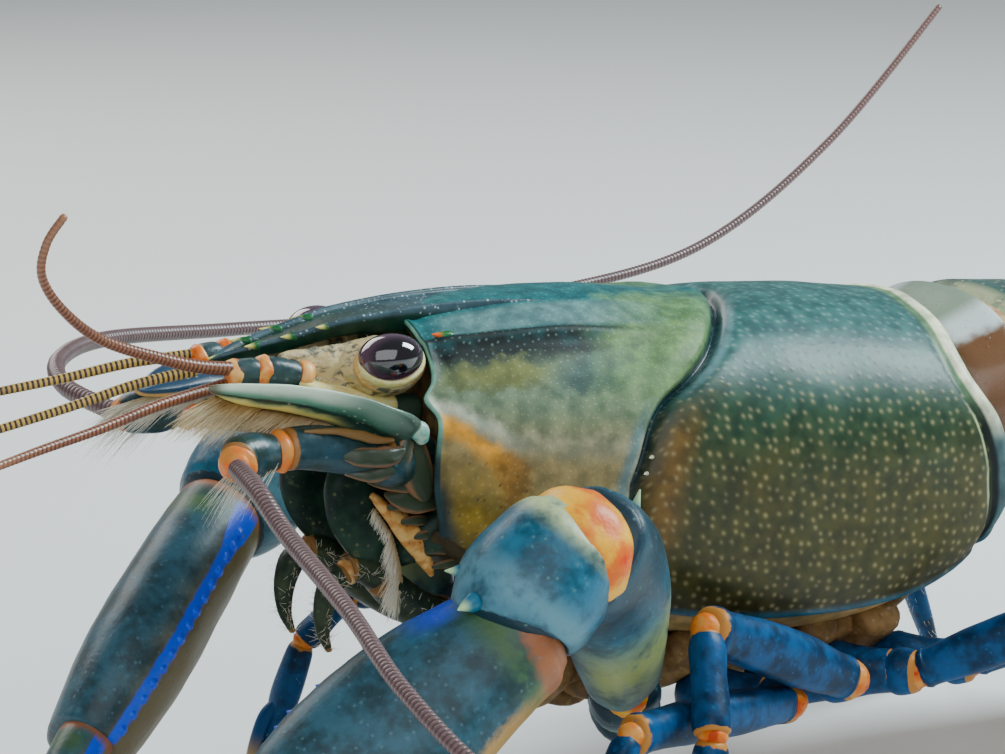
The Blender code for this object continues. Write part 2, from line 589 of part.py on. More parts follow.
# Walking legs of the left side: sternum x, merus base, knee, wrist and foot
WALKING_LEGS = {
    2: {"x": 2.4, "ischium": (5.6, -11.2, 11.4), "knee": (-10.2, -18.0, 13.6),
        "wrist": (-13.4, -19.4, 10.0), "foot": (-16.6, -21.0, 0.0), "pincer": True},
    3: {"x": 7.4, "ischium": (10.4, -10.6, 12.0), "knee": (-3.4, -15.4, 18.4),
        "wrist": (-5.2, -19.0, 13.0), "foot": (-7.8, -20.6, 0.0), "pincer": True},
    4: {"x": 12.4, "ischium": (15.6, -10.4, 11.6), "knee": (24.4, -18.6, 17.0),
        "wrist": (27.4, -21.0, 12.0), "foot": (31.0, -24.6, 0.0), "pincer": False},
    5: {"x": 17.0, "ischium": (20.4, -9.6, 11.4), "knee": (31.6, -14.2, 15.6),
        "wrist": (35.8, -15.8, 11.0), "foot": (42.0, -18.0, 0.0), "pincer": False},
}
LEG_RADII = {2: 1.15, 3: 1.4, 4: 1.25, 5: 1.15}
# How the right legs differ from the left ones: a step forward or back, and outwards
RIGHT_STEP = {2: (1.6, 0.8), 3: (2.6, -0.6), 4: (-2.2, 0.6), 5: (-2.8, 0.4)}


def build_leg(number, label):
    plan = WALKING_LEGS[number]
    s = -1 if label == "left" else 1
    r = LEG_RADII[number]
    step, spread = (0.0, 0.0) if s < 0 else RIGHT_STEP[number]

    def place(key, share):
        x, y, z = plan[key]
        return Vector((x + step * share, s * (-y + spread * share), z))

    root = Vector((plan["x"], s * LEG_ROOT_Y, 11.2))
    ischium = place("ischium", 0.1)
    knee, wrist, foot = place("knee", 0.6), place("wrist", 0.8), place("foot", 1.0)
    name = f"leg_{number}_{label}"
    hip_bend = (knee - ischium).normalized()
    knee_plane = joint_plane(ischium, knee, wrist)

    out = Vector((0, s, 0))
    upper = rod(name + "_upper",
                [(*(ischium - hip_bend * 0.9), r * 0.8, r * 0.8), (*(ischium + hip_bend * 0.5), r, r),
                 (*ischium.lerp(knee, 0.5), r * 1.15, r), (*ischium.lerp(knee, 0.88), r * 1.05, r),
                 (*knee, r * 0.95, r * 0.9), (*(knee + hip_bend * KNEE_OVERRUN), r * 0.7, r * 0.7)],
                (0, 0, 1), sides=8, steps=1)
    coxa = rod("coxa", [(*(root - out * 0.6), 1.7, 1.6), (*(root + out * 0.9), 1.9, 1.8),
                        (*(root.lerp(ischium, 0.4) + out * 0.4), 1.5, 1.5),
                        (*(ischium - (ischium - root) * 0.16), 1.5, 1.5), (*ischium, 0.9, 0.9)],
               (0, 0, 1), sides=8, steps=1)
    fuse(upper, [coxa])
    cut_off(upper, root, Vector((0, -s, 0)))
    cut_off(upper, *cut_after(knee_plane))
    finish(upper, LIMB_BLUE, 0.3)

    shin = (wrist - knee).normalized()
    toe = (foot - wrist).normalized()
    past_foot = foot + toe * 0.8
    lower = [(*(knee - shin * KNEE_OVERRUN), r * 0.6, r * 0.6), (*knee, r * 0.85, r * 0.85),
             (*knee.lerp(wrist, 0.5), r * 0.85, r * 0.85), (*(wrist - shin * 0.4), r * 0.8, r * 0.8)]
    pieces = []
    if plan["pincer"]:
        lower += [(*wrist.lerp(foot, 0.12), r * 0.75, r * 0.7), (*wrist.lerp(foot, 0.36), r * 0.95, r * 0.75),
                  (*wrist.lerp(foot, 0.55), r * 0.72, r * 0.6), (*wrist.lerp(foot, 0.8), r * 0.42, r * 0.4),
                  (*foot, 0.3, 0.28), (*past_foot, 0.2, 0.2)]
        out = Vector((-1, 0, 0.2))
        out = (out - toe * toe.dot(out)).normalized()
        pieces.append(rod("nipper", [(*(wrist.lerp(foot, 0.42) + out * 0.3), r * 0.4, r * 0.4),
                                     (*(wrist.lerp(foot, 0.6) + out * 1.25), r * 0.42, r * 0.4),
                                     (*(wrist.lerp(foot, 0.8) + out * 1.15), r * 0.32, r * 0.3),
                                     (*(wrist.lerp(foot, 0.96) + out * 0.75), 0.25, 0.25)],
                          (0, 1, 0), sides=6, steps=1))
    else:
        lower += [(*wrist.lerp(foot, 0.15), r * 0.7, r * 0.7), (*wrist.lerp(foot, 0.45), r * 0.66, r * 0.6),
                  (*wrist.lerp(foot, 0.7), r * 0.5, r * 0.46), (*foot, 0.3, 0.28), (*past_foot, 0.2, 0.2)]
    shank = rod(name + "_lower", lower, (0, 1, 0.1), sides=8, steps=1)
    if pieces:
        fuse(shank, pieces)
    cut_off(shank, *cut_before(knee_plane))
    cut_off(shank, Vector((0, 0, 0)), Vector((0, 0, -1)))
    finish(shank, LIMB_BLUE, 0.3)


# Abdomen: x, z of each joint's centre, tilt in degrees, rise to the top, half width, pleura drop
ABDOMEN_JOINTS = (
    (20.0, 27.0, 3, 4.6, 8.4, 4.4),
    (24.8, 27.3, -2, 6.6, 9.7, 6.6),
    (32.0, 26.4, -15, 6.8, 10.0, 8.6),
    (38.8, 23.7, -28, 6.6, 9.9, 8.4),
    (44.8, 19.6, -38, 6.2, 9.4, 7.8),
    (50.0, 14.8, -44, 5.5, 8.6, 7.0),
    (55.8, 9.4, -38, 4.1, 7.2, 5.0),
)
ABDOMEN_SIDES = 11             # points over the back from one lower edge to the other
PLEURA_THICKNESS = 0.9


def abdomen_ring(centre, tilt, rise, half_width, drop, shrink=0.0):
    """One arch of the abdomen: over the back outside, and along the belly inside."""
    turn = math.radians(tilt)
    up = Vector((-math.sin(turn), 0, math.cos(turn)))
    side = Vector((0, 1, 0))
    rise, half_width, drop = rise - shrink, half_width - shrink, drop - shrink

    def point(y, z):
        return centre + side * y + up * z

    outer = []
    for k in range(ABDOMEN_SIDES):
        angle = math.radians(-90 + 180 * k / (ABDOMEN_SIDES - 1))
        c, s = math.cos(angle), math.sin(angle)
        outer.append(point(half_width * math.copysign(abs(s) ** 0.85, s), rise * max(c, 0.0) ** 0.9))
    lip = half_width * 0.93
    inner = lip - PLEURA_THICKNESS
    drop = max(drop, 1.0)
    under = ((lip + 0.1, 0.6), (lip - 0.3, 1.0), (inner - 0.3, 0.97), (inner - 0.7, 0.55),
             (inner * 0.5, 0.34))
    right = [point(y, -drop * share) for y, share in under]
    left = [point(-y, -drop * share) for y, share in reversed(under)]
    return outer + right + left


def build_abdomen():
    """Six overlapping rings, each with side plates, and small swimmerets on four of them."""
    for n in range(6):
        x0, z0, tilt0, rise0, wide0, drop0 = ABDOMEN_JOINTS[n]
        x1, z1, tilt1, rise1, wide1, drop1 = ABDOMEN_JOINTS[n + 1]
        length = math.hypot(x1 - x0, z1 - z0)
        rings = []
        # fraction of the length, share of the pleura's drop, shrink
        rows = ((GAP / 2 / length, 0.5, 1.0), (1.3 / length, 0.72, 0.4), (0.46, 0.97, 0.0),
                (0.66, 1.0, 0.0), (0.86, 0.85, 0.0), (1 - GAP / 2 / length, 0.65, 0.12))
        for f, share, shrink in rows:
            centre = Vector((x0 + (x1 - x0) * f, 0, z0 + (z1 - z0) * f))
            rings.append(abdomen_ring(centre, tilt0 + (tilt1 - tilt0) * f, rise0 + (rise1 - rise0) * f,
                                      wide0 + (wide1 - wide0) * f,
                                      (drop0 + (drop1 - drop0) * f) * share, shrink))
        node = skin_rings(f"abdomen_{n + 1}", rings)
        if 1 <= n <= 4:
            fuse(node, swimmerets(n))
        finish(node, SHELL_TEAL, 0.3)


def swimmerets(n):
    """A pair of small flaps under one ring of the abdomen, pointing back and down."""
    x0, z0, tilt0 = ABDOMEN_JOINTS[n][:3]
    x1, z1, tilt1 = ABDOMEN_JOINTS[n + 1][:3]
    turn = math.radians((tilt0 + tilt1) / 2)
    along = Vector((math.cos(turn), 0, math.sin(turn)))
    down = Vector((math.sin(turn), 0, -math.cos(turn)))
    middle = Vector(((x0 + x1) / 2, 0, (z0 + z1) / 2))
    flaps = []
    for s in (-1, 1):
        root = middle + Vector((0, s * 4.4, 0)) + down * 1.2 - along * 0.4
        bend = root + down * 2.6 + along * 0.2
        tip = bend + down * 2.2 + along * 2.0
        flaps.append(rod("flap", [(*root, 0.7, 0.6), (*bend, 0.9, 0.5),
                                  (*bend.lerp(tip, 0.6), 1.1, 0.4), (*tip, 0.5, 0.3)],
                         (0, 1, 0), sides=6, steps=1))
    return flaps


# Tail fan: x, z of the middle, half width, half thickness
TELSON_FORM = ((54.6, 10.1, 4.2, 2.2), (56.8, 9.0, 4.4, 2.0), (59.0, 7.5, 5.1, 1.7), (62.0, 5.5, 5.3, 1.3),
               (66.0, 2.9, 4.9, 0.95), (69.6, 1.0, 4.1, 0.7), (71.6, 0.3, 2.9, 0.55), (72.4, 0.1, 1.4, 0.4))
# x, y, height, half width, half thickness of the two vanes on each side of the telson
ENDOPOD = ((53.6, 5.9, 8.0, 0.9, 1.0), (56.6, 6.6, 7.0, 1.1, 0.95), (59.0, 7.5, 5.9, 1.6, 0.8),
           (61.8, 8.2, 4.6, 2.2, 0.65), (66.0, 9.5, 2.4, 2.5, 0.5), (69.6, 10.7, 0.8, 2.2, 0.42),
           (71.6, 11.4, 0.3, 1.1, 0.36))
EXOPOD = ((57.2, 7.0, 6.6, 0.9, 0.8), (59.2, 9.3, 5.6, 1.6, 0.75), (61.0, 11.8, 4.4, 2.2, 0.65),
          (64.4, 15.2, 2.4, 2.6, 0.5), (67.2, 17.6, 0.8, 2.2, 0.42), (68.6, 19.0, 0.3, 1.1, 0.36))


def build_tail_fan():
    x, z, tilt = ABDOMEN_JOINTS[-1][:3]
    turn = math.radians(tilt)
    backward = Vector((math.cos(turn), 0, math.sin(turn)))
    seat = (Vector((x, 0, z)) + backward * GAP / 2, -backward)
    floor = (Vector((0, 0, 0)), Vector((0, 0, -1)))
    telson = rod("telson", [(x, 0, z, w, h) for x, z, w, h in TELSON_FORM], (0, 1, 0), sides=12,
                 steps=1, square=3)
    cut_off(telson, *seat)
    cut_off(telson, *floor)
    finish(telson, SHELL_TEAL, 0.3)
    for label, s in (("left", -1), ("right", 1)):
        node, outer = [rod(f"uropod_{label}", [(x, s * y, z, w, h) for x, y, z, w, h in rows],
                           (0, 1, 0), sides=8, steps=1) for rows in (ENDOPOD, EXOPOD)]
        fuse(node, [outer])
        cut_off(node, *seat)
        cut_off(node, *floor)
        finish(node, SHELL_TEAL, 0.3)


def settle_on_origin():
    """Turns millimetres into metres, with the middle of the floor print on the origin."""
    nodes = [node for node in bpy.data.objects if node.type == "MESH"]
    corners = [v.co for node in nodes for v in node.data.vertices]
    middle = Vector([(min(c[i] for c in corners) + max(c[i] for c in corners)) / 2 for i in (0, 1)]
                    + [min(c[2] for c in corners)])
    for node in nodes:
        node.data.transform(Matrix.Scale(METRE_PER_MM, 4) @ Matrix.Translation(-middle))


def main():
    for thing in list(bpy.data.objects):
        bpy.data.objects.remove(thing)
    build_carapace()
    build_thorax_underside()
    build_mouth()
    for label, s in (("left", -1), ("right", 1)):
        build_head_pairs(s, label)
    build_whips()
    for label in ("left", "right"):
        build_cheliped(label)
        for number in WALKING_LEGS:
            build_leg(number, label)
    build_abdomen()
    build_tail_fan()
    settle_on_origin()


main()
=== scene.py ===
import math
import random

import bmesh
import bpy
from mathutils import Matrix, Vector, noise


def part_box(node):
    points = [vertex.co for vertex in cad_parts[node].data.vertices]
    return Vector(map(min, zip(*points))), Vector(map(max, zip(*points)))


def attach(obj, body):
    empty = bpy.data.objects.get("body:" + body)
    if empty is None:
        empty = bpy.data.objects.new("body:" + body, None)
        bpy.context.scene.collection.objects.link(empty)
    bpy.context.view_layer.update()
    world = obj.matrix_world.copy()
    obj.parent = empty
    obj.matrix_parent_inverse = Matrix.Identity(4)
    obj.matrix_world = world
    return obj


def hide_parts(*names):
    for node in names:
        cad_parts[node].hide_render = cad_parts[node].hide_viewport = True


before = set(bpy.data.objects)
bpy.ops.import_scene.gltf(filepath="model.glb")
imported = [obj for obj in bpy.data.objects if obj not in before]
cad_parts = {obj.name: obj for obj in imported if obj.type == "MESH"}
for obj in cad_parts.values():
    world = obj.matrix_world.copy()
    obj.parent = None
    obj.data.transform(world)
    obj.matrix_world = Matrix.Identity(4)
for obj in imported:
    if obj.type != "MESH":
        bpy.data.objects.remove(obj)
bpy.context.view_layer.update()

# All tables are in millimetres with the head at -X, the left side at -Y and the floor at Z = 0.
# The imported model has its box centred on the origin, so every point is shifted by this much.
rostrumTipX = -28.4
shellLow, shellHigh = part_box("carapace")
shift = Vector((shellLow.x - rostrumTipX * 0.001, (shellLow.y + shellHigh.y) / 2, 0))
sides = (("left", -1), ("right", 1))


def toFrame(point):
    return Vector(point) * 0.001 + shift


def smoothRows(rows, steps):
    # rows of numbers along a smooth curve through the given rows
    rows = [tuple(float(n) for n in row) for row in rows]
    result = []
    for i in range(len(rows) - 1):
        before, after = rows[max(i - 1, 0)], rows[min(i + 2, len(rows) - 1)]
        for k in range(steps):
            t = k / steps
            result.append(tuple(
                0.5 * (2 * b + (c - a) * t + (2 * a - 5 * b + 4 * c - d) * t * t
                       + (3 * b - a - 3 * c + d) * t ** 3)
                for a, b, c, d in zip(before, rows[i], rows[i + 1], after)))
    result.append(rows[-1])
    return result


def readTable(rising, x):
    # the table's other columns at x; the first column rises
    if x <= rising[0][0]:
        return rising[0][1:]
    for low, high in zip(rising, rising[1:]):
        if x <= high[0]:
            t = (x - low[0]) / (high[0] - low[0])
            return tuple(a + (b - a) * t for a, b in zip(low[1:], high[1:]))
    return rising[-1][1:]


def ease(x, low, high):
    t = min(1.0, max(0.0, (x - low) / (high - low)))
    return t * t * (3 - 2 * t)


def hill(x, centre, width):
    return math.exp(-((x - centre) / width) ** 2)


def rough(point, size, depth):
    return depth * noise.noise(Vector(point) / size)


def mirrored(rows, s):
    # rows of the right side, turned over to the left where s is -1
    return [(x, s * y, *rest) for x, y, *rest in rows]


class Wire:
    # one output socket that can be added, multiplied and so on
    def __init__(self, finish, socket):
        self.finish, self.socket = finish, socket

    def maths(self, operation, *others):
        return self.finish.node("ShaderNodeMath", {"operation": operation}, (self, *others))

    def __add__(self, other):
        return self.maths("ADD", other)

    def __sub__(self, other):
        return self.maths("SUBTRACT", other)

    def __mul__(self, other):
        return self.maths("MULTIPLY", other)

    def __truediv__(self, other):
        return self.maths("DIVIDE", other)

    def __pow__(self, other):
        return self.maths("POWER", other)

    def __neg__(self):
        return self * -1

    def __rsub__(self, other):
        return -self + other

    def __rtruediv__(self, other):
        return self ** -1 * other

    __radd__ = __add__
    __rmul__ = __mul__

    def ease(self, low, high):
        return self.finish.node("ShaderNodeMapRange", {"interpolation_type": "SMOOTHSTEP"},
                                {"Value": self, "From Min": low, "From Max": high})

    def hill(self, centre, width):
        return (self - centre).maths("ABSOLUTE").ease(width, 0)


class Finish:
    # one material: a Principled BSDF and the nodes that feed it
    def __init__(self, name, fixed):
        self.material = bpy.data.materials.new(name)
        self.material.use_nodes = True
        self.tree = self.material.node_tree
        self.shader = self.tree.nodes["Principled BSDF"]
        for socket, value in fixed.items():
            self.shader.inputs[socket].default_value = value
        spot = self.node("ShaderNodeTexCoord", output="Object")
        self.spot = self.node("ShaderNodeVectorMath", {"operation": "SCALE"}, {0: spot, "Scale": 1000})

    def node(self, kind, settings=None, sockets=None, output=0):
        made = self.tree.nodes.new(kind)
        for key, value in (settings or {}).items():
            setattr(made, key, value)
        pairs = sockets.items() if isinstance(sockets, dict) else enumerate(sockets or ())
        for key, value in pairs:
            if isinstance(value, Wire):
                self.tree.links.new(value.socket, made.inputs[key])
            else:
                made.inputs[key].default_value = value
        return Wire(self, made.outputs[output])

    def field(self, name):
        return self.node("ShaderNodeAttribute", {"attribute_name": name}, output="Fac")

    def fields(self, names):
        return [self.field(name) for name in names.split()]

    def mix(self, share, first, second, blend="MIX"):
        first, second = [(*c, 1) if isinstance(c, tuple) else c for c in (first, second)]
        return self.node("ShaderNodeMix", {"data_type": "RGBA", "blend_type": blend},
                         {0: share, 6: first, 7: second}, 2)

    def layers(self, colour, *layers):
        # each layer is a share and the colour that covers what lies below by it
        for share, tint in layers:
            colour = self.mix(share, colour, tint)
        return colour

    def noise(self, scale, detail=3, vector=None):
        return self.node("ShaderNodeTexNoise", None,
                         {"Vector": vector or self.spot, "Scale": scale, "Detail": detail})

    def cells(self, scale, vector=None, flat=False, randomness=0.8):
        return self.node("ShaderNodeTexVoronoi", {"voronoi_dimensions": "2D" if flat else "3D"},
                         {"Vector": vector or self.spot, "Scale": scale, "Randomness": randomness})

    def join(self, x, y, z=0.0):
        return self.node("ShaderNodeCombineXYZ", None, (x, y, z))

    def axis(self, number):
        return self.node("ShaderNodeSeparateXYZ", None, (self.spot,), number)

    def stretched(self, x, y, z):
        return self.node("ShaderNodeVectorMath", {"operation": "MULTIPLY"}, (self.spot, (x, y, z)))

    def wear(self, colour, roughness, height=None, distance=0.05, strength=1.0):
        # distance is how high the bump stands, in millimetres
        wires = {"Base Color": colour, "Roughness": roughness}
        if height:
            wires["Normal"] = self.node("ShaderNodeBump", None, {
                "Height": height, "Distance": distance * 0.001, "Strength": strength})
        for name, value in wires.items():
            if isinstance(value, Wire):
                self.tree.links.new(value.socket, self.shader.inputs[name])
            else:
                self.shader.inputs[name].default_value = value
        return self.material
class Skin:
    # gathers closed forms in millimetres; every point keeps its place along and around its form
    fields = ("along", "run", "wide", "thick", "part", "fromGroove", "fromFront", "fromRear", "arc")

    def __init__(self):
        self.points, self.faces = [], []
        self.values = {key: [] for key in self.fields}

    def addRings(self, rings, marks):
        # marks(i, k) gives the surface numbers of point k on ring i
        base, count = len(self.points), len(rings[0])
        for i, ring in enumerate(rings):
            for k, point in enumerate(ring):
                self.addPoint(point, marks(i, k))
        for i in range(len(rings) - 1):
            for k in range(count):
                a, b = base + i * count + k, base + i * count + (k + 1) % count
                self.faces.append((a, b, b + count, a + count))
        for i in (0, len(rings) - 1):
            self.addPoint(sum(rings[i], Vector()) / count, marks(i, 0))
            middle = len(self.points) - 1
            for k in range(count):
                a, b = base + i * count + k, base + i * count + (k + 1) % count
                self.faces.append((b, a, middle) if i == 0 else (a, b, middle))

    def addPoint(self, point, marks):
        self.points.append(Vector(point))
        for key in self.fields:
            self.values[key].append(marks.get(key, 0.0))


def makePiece(name, skin, material, nodes):
    mesh = bpy.data.meshes.new(name)
    # a point that would sink under the floor is pressed flat on it
    mesh.from_pydata([toFrame((p.x, p.y, max(p.z, 0.0))) for p in skin.points], [], skin.faces)
    shape = bmesh.new()
    shape.from_mesh(mesh)
    bmesh.ops.recalc_face_normals(shape, faces=shape.faces)
    shape.to_mesh(mesh)
    shape.free()
    for key, values in skin.values.items():
        if any(values):
            mesh.attributes.new(key, "FLOAT", "POINT").data.foreach_set("value", values)
    mesh.shade_smooth()
    piece = bpy.data.objects.new(name, mesh)
    bpy.context.scene.collection.objects.link(piece)
    mesh.materials.append(material)
    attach(piece, "root")
    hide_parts(*nodes)
    return piece


def tube(skin, stations, side, count=20, steps=5, square=2.0, part=0.0, domes=(0.5, 0.5), relief=None,
         bumps=None, turned=1):
    # a smooth form along stations of x, y, z, half width along side, half thickness;
    # bumps are the size and height of its roughness, or relief gives the height at each point
    rows = smoothRows(stations, steps)
    centres = [Vector(row[:3]) for row in rows]
    headings = [(centres[min(i + 1, len(rows) - 1)] - centres[max(i - 1, 0)]).normalized()
                for i in range(len(rows))]
    runs = [0.0]
    for a, b in zip(centres, centres[1:]):
        runs.append(runs[-1] + (b - a).length)
    loops = [(c, h, r[3], r[4], run) for c, h, r, run in zip(centres, headings, rows, runs)]
    for place, sign in ((0, -1), (-1, 1)):
        centre, heading, w, h, run = loops[place]
        bulge = domes[place] * min(w, h)
        if bulge <= 0:
            continue
        caps = []
        for angle in (25, 48, 68, 84):
            turn = math.radians(angle)
            caps.append((centre + heading * sign * bulge * math.sin(turn), heading,
                         w * math.cos(turn), h * math.cos(turn), run))
        loops = caps[::-1] + loops if place == 0 else loops + caps
    rings = []
    for i, (centre, heading, w, h, run) in enumerate(loops):
        wide = (Vector(side) - heading * heading.dot(Vector(side))).normalized()
        thick = heading.cross(wide)
        ring = []
        for k in range(count):
            turn = 2 * math.pi * (k + 0.5) / count
            c, s = math.cos(turn), math.sin(turn)
            cc = math.copysign(abs(c) ** (2 / square), c)
            ss = math.copysign(abs(s) ** (2 / square), s)
            out = wide * cc * w + thick * ss * h
            if bumps:
                out += out.normalized() * rough(centre + out, *bumps)
            elif relief:
                out += out.normalized() * relief(run / runs[-1], turn, centre + out)
            ring.append(centre + out)
        rings.append(ring)

    def marks(i, k):
        turn = 2 * math.pi * (k + 0.5) / count
        return {"along": loops[i][4] / runs[-1], "run": loops[i][4], "part": part,
                "wide": math.cos(turn), "thick": math.sin(turn) * turned}
    skin.addRings(rings, marks)
    return rings


def thorn(skin, root, direction, length, radius, part=0.0, bend=(0, 0, 0)):
    root, direction = Vector(root), Vector(direction).normalized()
    side = Vector((0, 0, 1)) if abs(direction.z) < 0.7 else Vector((0, 1, 0))
    rows = []
    for t, r in ((-0.3, 1.1), (0.1, 0.9), (0.45, 0.55), (0.8, 0.26), (1.0, 0.1)):
        rows.append((*(root + direction * length * t + Vector(bend) * t * t), radius * r, radius * r))
    tube(skin, rows, side, count=10, steps=2, part=part)


def hair(skin, root, direction, length, radius, sag=(0, 0, 0), segments=4):
    # one tapering bristle with three sides
    root, direction = Vector(root), Vector(direction).normalized()
    side = direction.orthogonal().normalized()
    other = direction.cross(side)
    rings = []
    for i in range(segments + 1):
        t = i / segments
        centre = root + direction * length * t + Vector(sag) * length * t * t
        r = radius * (1 - 0.85 * t)
        rings.append([centre + (side * math.cos(a) + other * math.sin(a)) * r
                      for a in (0, 2 * math.pi / 3, 4 * math.pi / 3)])
    skin.addRings(rings, lambda i, k: {"along": i / segments})


def coatPiece(name, skin, material, nodes=()):
    # bristles get a flat UV map of their own, so that the bake has room for each
    piece = makePiece(name, skin, material, nodes)
    layer = piece.data.uv_layers.new(name="OFBake")
    faces = len(piece.data.polygons)
    columns = math.ceil(math.sqrt(faces))
    for face in piece.data.polygons:
        u, v = face.index % columns, face.index // columns
        for n, loop in enumerate(face.loop_indices):
            layer.data[loop].uv = ((u + 0.1 + 0.8 * (n in (1, 2))) / columns,
                                   (v + 0.1 + 0.8 * (n in (2, 3))) / columns)
    return piece

print("stage: tools ready")

carapacePlan = {
    # x, top, half width, height of the widest line, bottom
    "form": (
        (-17.6, 36.1, 7.3, 28.6, 23.6), (-14.0, 36.5, 8.4, 27.8, 20.8), (-9.0, 36.8, 9.5, 26.8, 18.0),
        (-3.0, 36.5, 10.5, 26.0, 15.8), (3.0, 35.7, 11.2, 25.4, 14.6), (8.0, 35.4, 11.6, 25.0, 14.2),
        (14.0, 34.9, 11.7, 24.6, 14.6), (18.0, 34.3, 11.5, 24.4, 16.0), (21.0, 33.8, 11.1, 24.4, 18.2),
        (23.0, 33.3, 10.8, 24.6, 20.8)),
    # degrees from the top, x of the front rim, of the groove and of the rear rim
    "seams": (
        (0, -16.4, 6.1, 21.3), (12, -16.4, 5.1, 20.5), (30, -16.5, 3.1, 20.2), (43, -16.5, 1.4, 19.9),
        (54, -16.8, -0.6, 20.0), (63, -17.5, -2.6, 20.6), (72, -16.9, -3.7, 21.4), (84, -17.1, -4.5, 22.0),
        (96, -17.2, -5.5, 22.4), (113, -16.9, -7.0, 22.3), (135, -16.5, -8.0, 21.6),
        (180, -16.4, -8.0, 21.2)),
    "upperPower": 2.2, "lowerPower": 4.0, "around": 180,
    "grooveDepth": 0.85, "rimInset": 1.3, "lip": 0.34, "frontFace": -15.7, "rearFace": 19.2,
    # x and y of the side ridge
    "ridge": ((-15.6, 4.6), (-12.0, 5.25), (-8.0, 5.75), (-4.6, 6.15), (-1.0, 6.55)),
    # x, half width, top, underside
    "rostrum": (
        (-4.5, 3.1, 36.05, 33.6), (-8.0, 2.75, 36.5, 33.5), (-11.0, 2.45, 36.74, 33.5),
        (-14.0, 2.25, 36.78, 34.2), (-16.4, 2.15, 36.7, 35.2), (-19.8, 1.85, 36.45, 35.4),
        (-22.0, 1.55, 36.05, 35.1), (-24.0, 1.3, 35.65, 34.75), (-26.0, 0.95, 35.25, 34.5),
        (-27.6, 0.42, 34.85, 34.25), (-28.25, 0.12, 34.6, 34.4)),
    "teeth": ((-21.2, 1.5, 36.15), (-23.4, 1.25, 35.75), (-25.6, 0.9, 35.35)),
    "grooveSpines": (82, 87, 92),
    # rings: steps behind the front rim, rings on each plain stretch,
    # then the first step and the count at the groove and at the rear
    "frontSteps": (0.0, 0.12, 0.24, 0.36, 0.5, 0.65, 0.82, 1.0, 1.2, 1.45, 1.75),
    "stretch": 34, "fineStep": 0.11, "grooveSteps": (-1.6, 30), "rearSteps": (-2.1, 20),
    "crown": (0.008, 0.125, 0.140), "band": (0.002, 0.007, 0.007), "flank": (0.150, 0.215, 0.130),
    "olivePatch": (0.15, 0.165, 0.045), "blue": (0.035, 0.085, 0.095), "lowFlank": (0.29, 0.225, 0.095),
    "pale": (0.52, 0.56, 0.44), "orange": (0.78, 0.35, 0.03), "yellow": (0.235, 0.155, 0.012),
    "dome": (0.14, 0.255, 0.085), "gillTop": (0.040, 0.130, 0.128), "gillMiddle": (0.022, 0.058, 0.032),
    "gillLow": (0.052, 0.048, 0.011), "rust": (0.20, 0.098, 0.020), "groove": (0.006, 0.032, 0.042),
    "rim": (0.80, 0.82, 0.58), "mint": (0.20, 0.46, 0.36), "belly": (0.42, 0.26, 0.10),
    "grooveEdgeHighlight": (0.085, 0.19, 0.22), "lowRim": (0.02, 0.10, 0.16), "yellowTip": (0.85, 0.80, 0.22),
    "grooveWallSheen": (0.16, 0.30, 0.34), "rostrumTop": (0.045, 0.090, 0.115), "rostrumSide": (0.004, 0.030, 0.018),
}
fineForm = smoothRows(carapacePlan["form"], 8)
fineSeams = smoothRows(carapacePlan["seams"], 6)
ridgeRows = smoothRows(carapacePlan["ridge"], 6)


def carapacePoint(x, degrees, lift=0.0):
    top, halfWidth, widest, bottom = readTable(fineForm, x)
    turn = math.radians(degrees)
    c, s = math.cos(turn), math.sin(turn)
    power = carapacePlan["upperPower"] if c >= 0 else carapacePlan["lowerPower"]
    reach = top - widest if c >= 0 else widest - bottom
    y = halfWidth * math.copysign(abs(s) ** (2 / power), s)
    z = reach * math.copysign(abs(c) ** (2 / power), c)
    length = math.hypot(y, z)
    return Vector((x, y * (1 + lift / length), widest + z * (1 + lift / length)))


def carapaceRelief(x, degrees, fromFront, fromGroove, fromRear):
    # how far the shell stands above its plain form, in millimetres
    height = 0.0
    notUnder = 1 - ease(degrees, 140, 170)
    height += 0.09 * hill(fromFront, 0.16, 0.14) * notUnder - 0.1 * hill(fromFront, 0.75, 0.35) * notUnder
    height -= carapacePlan["grooveDepth"] * (
        hill(fromGroove, 0.15, 0.42) + 0.35 * hill(fromGroove, 0.7, 0.7)
    ) * (1 - 0.5 * ease(degrees, 100, 150))
    # the domed rear of the head shield
    swell = ease(degrees, 6, 16) * (1 - ease(degrees, 62, 90))
    height += 0.32 * hill(fromGroove, -1.9, 1.5) * swell
    height -= (0.1 + 0.2 * ease(degrees, 56, 76)) * hill(fromRear, 1.45, 0.4) * notUnder
    height += 0.13 * hill(fromRear, 0.5, 0.4) * notUnder
    point = carapacePoint(x, degrees)
    if degrees < 80 and x < 1:
        gap = point.y - readTable(ridgeRows, x)[0]
        fade = ease(x, -17.2, -15.4) * (1 - ease(x, -7.5, -0.5))
        height += fade * (0.36 * hill(gap, 0, 0.28) - 0.1 * hill(gap, 0.7, 0.5))
    # the lower edge of the gill cover
    height += 0.2 * hill(degrees, 127, 2.2) * ease(fromFront, 3, 8)
    height -= 0.35 * ease(degrees, 129, 133) * notUnder
    height += 0.1 * hill(x, -13.5, 2.2) * hill(degrees, 96, 14)
    height += rough(point, 5.0, 0.09) + rough(point, 1.6, 0.022)
    return height


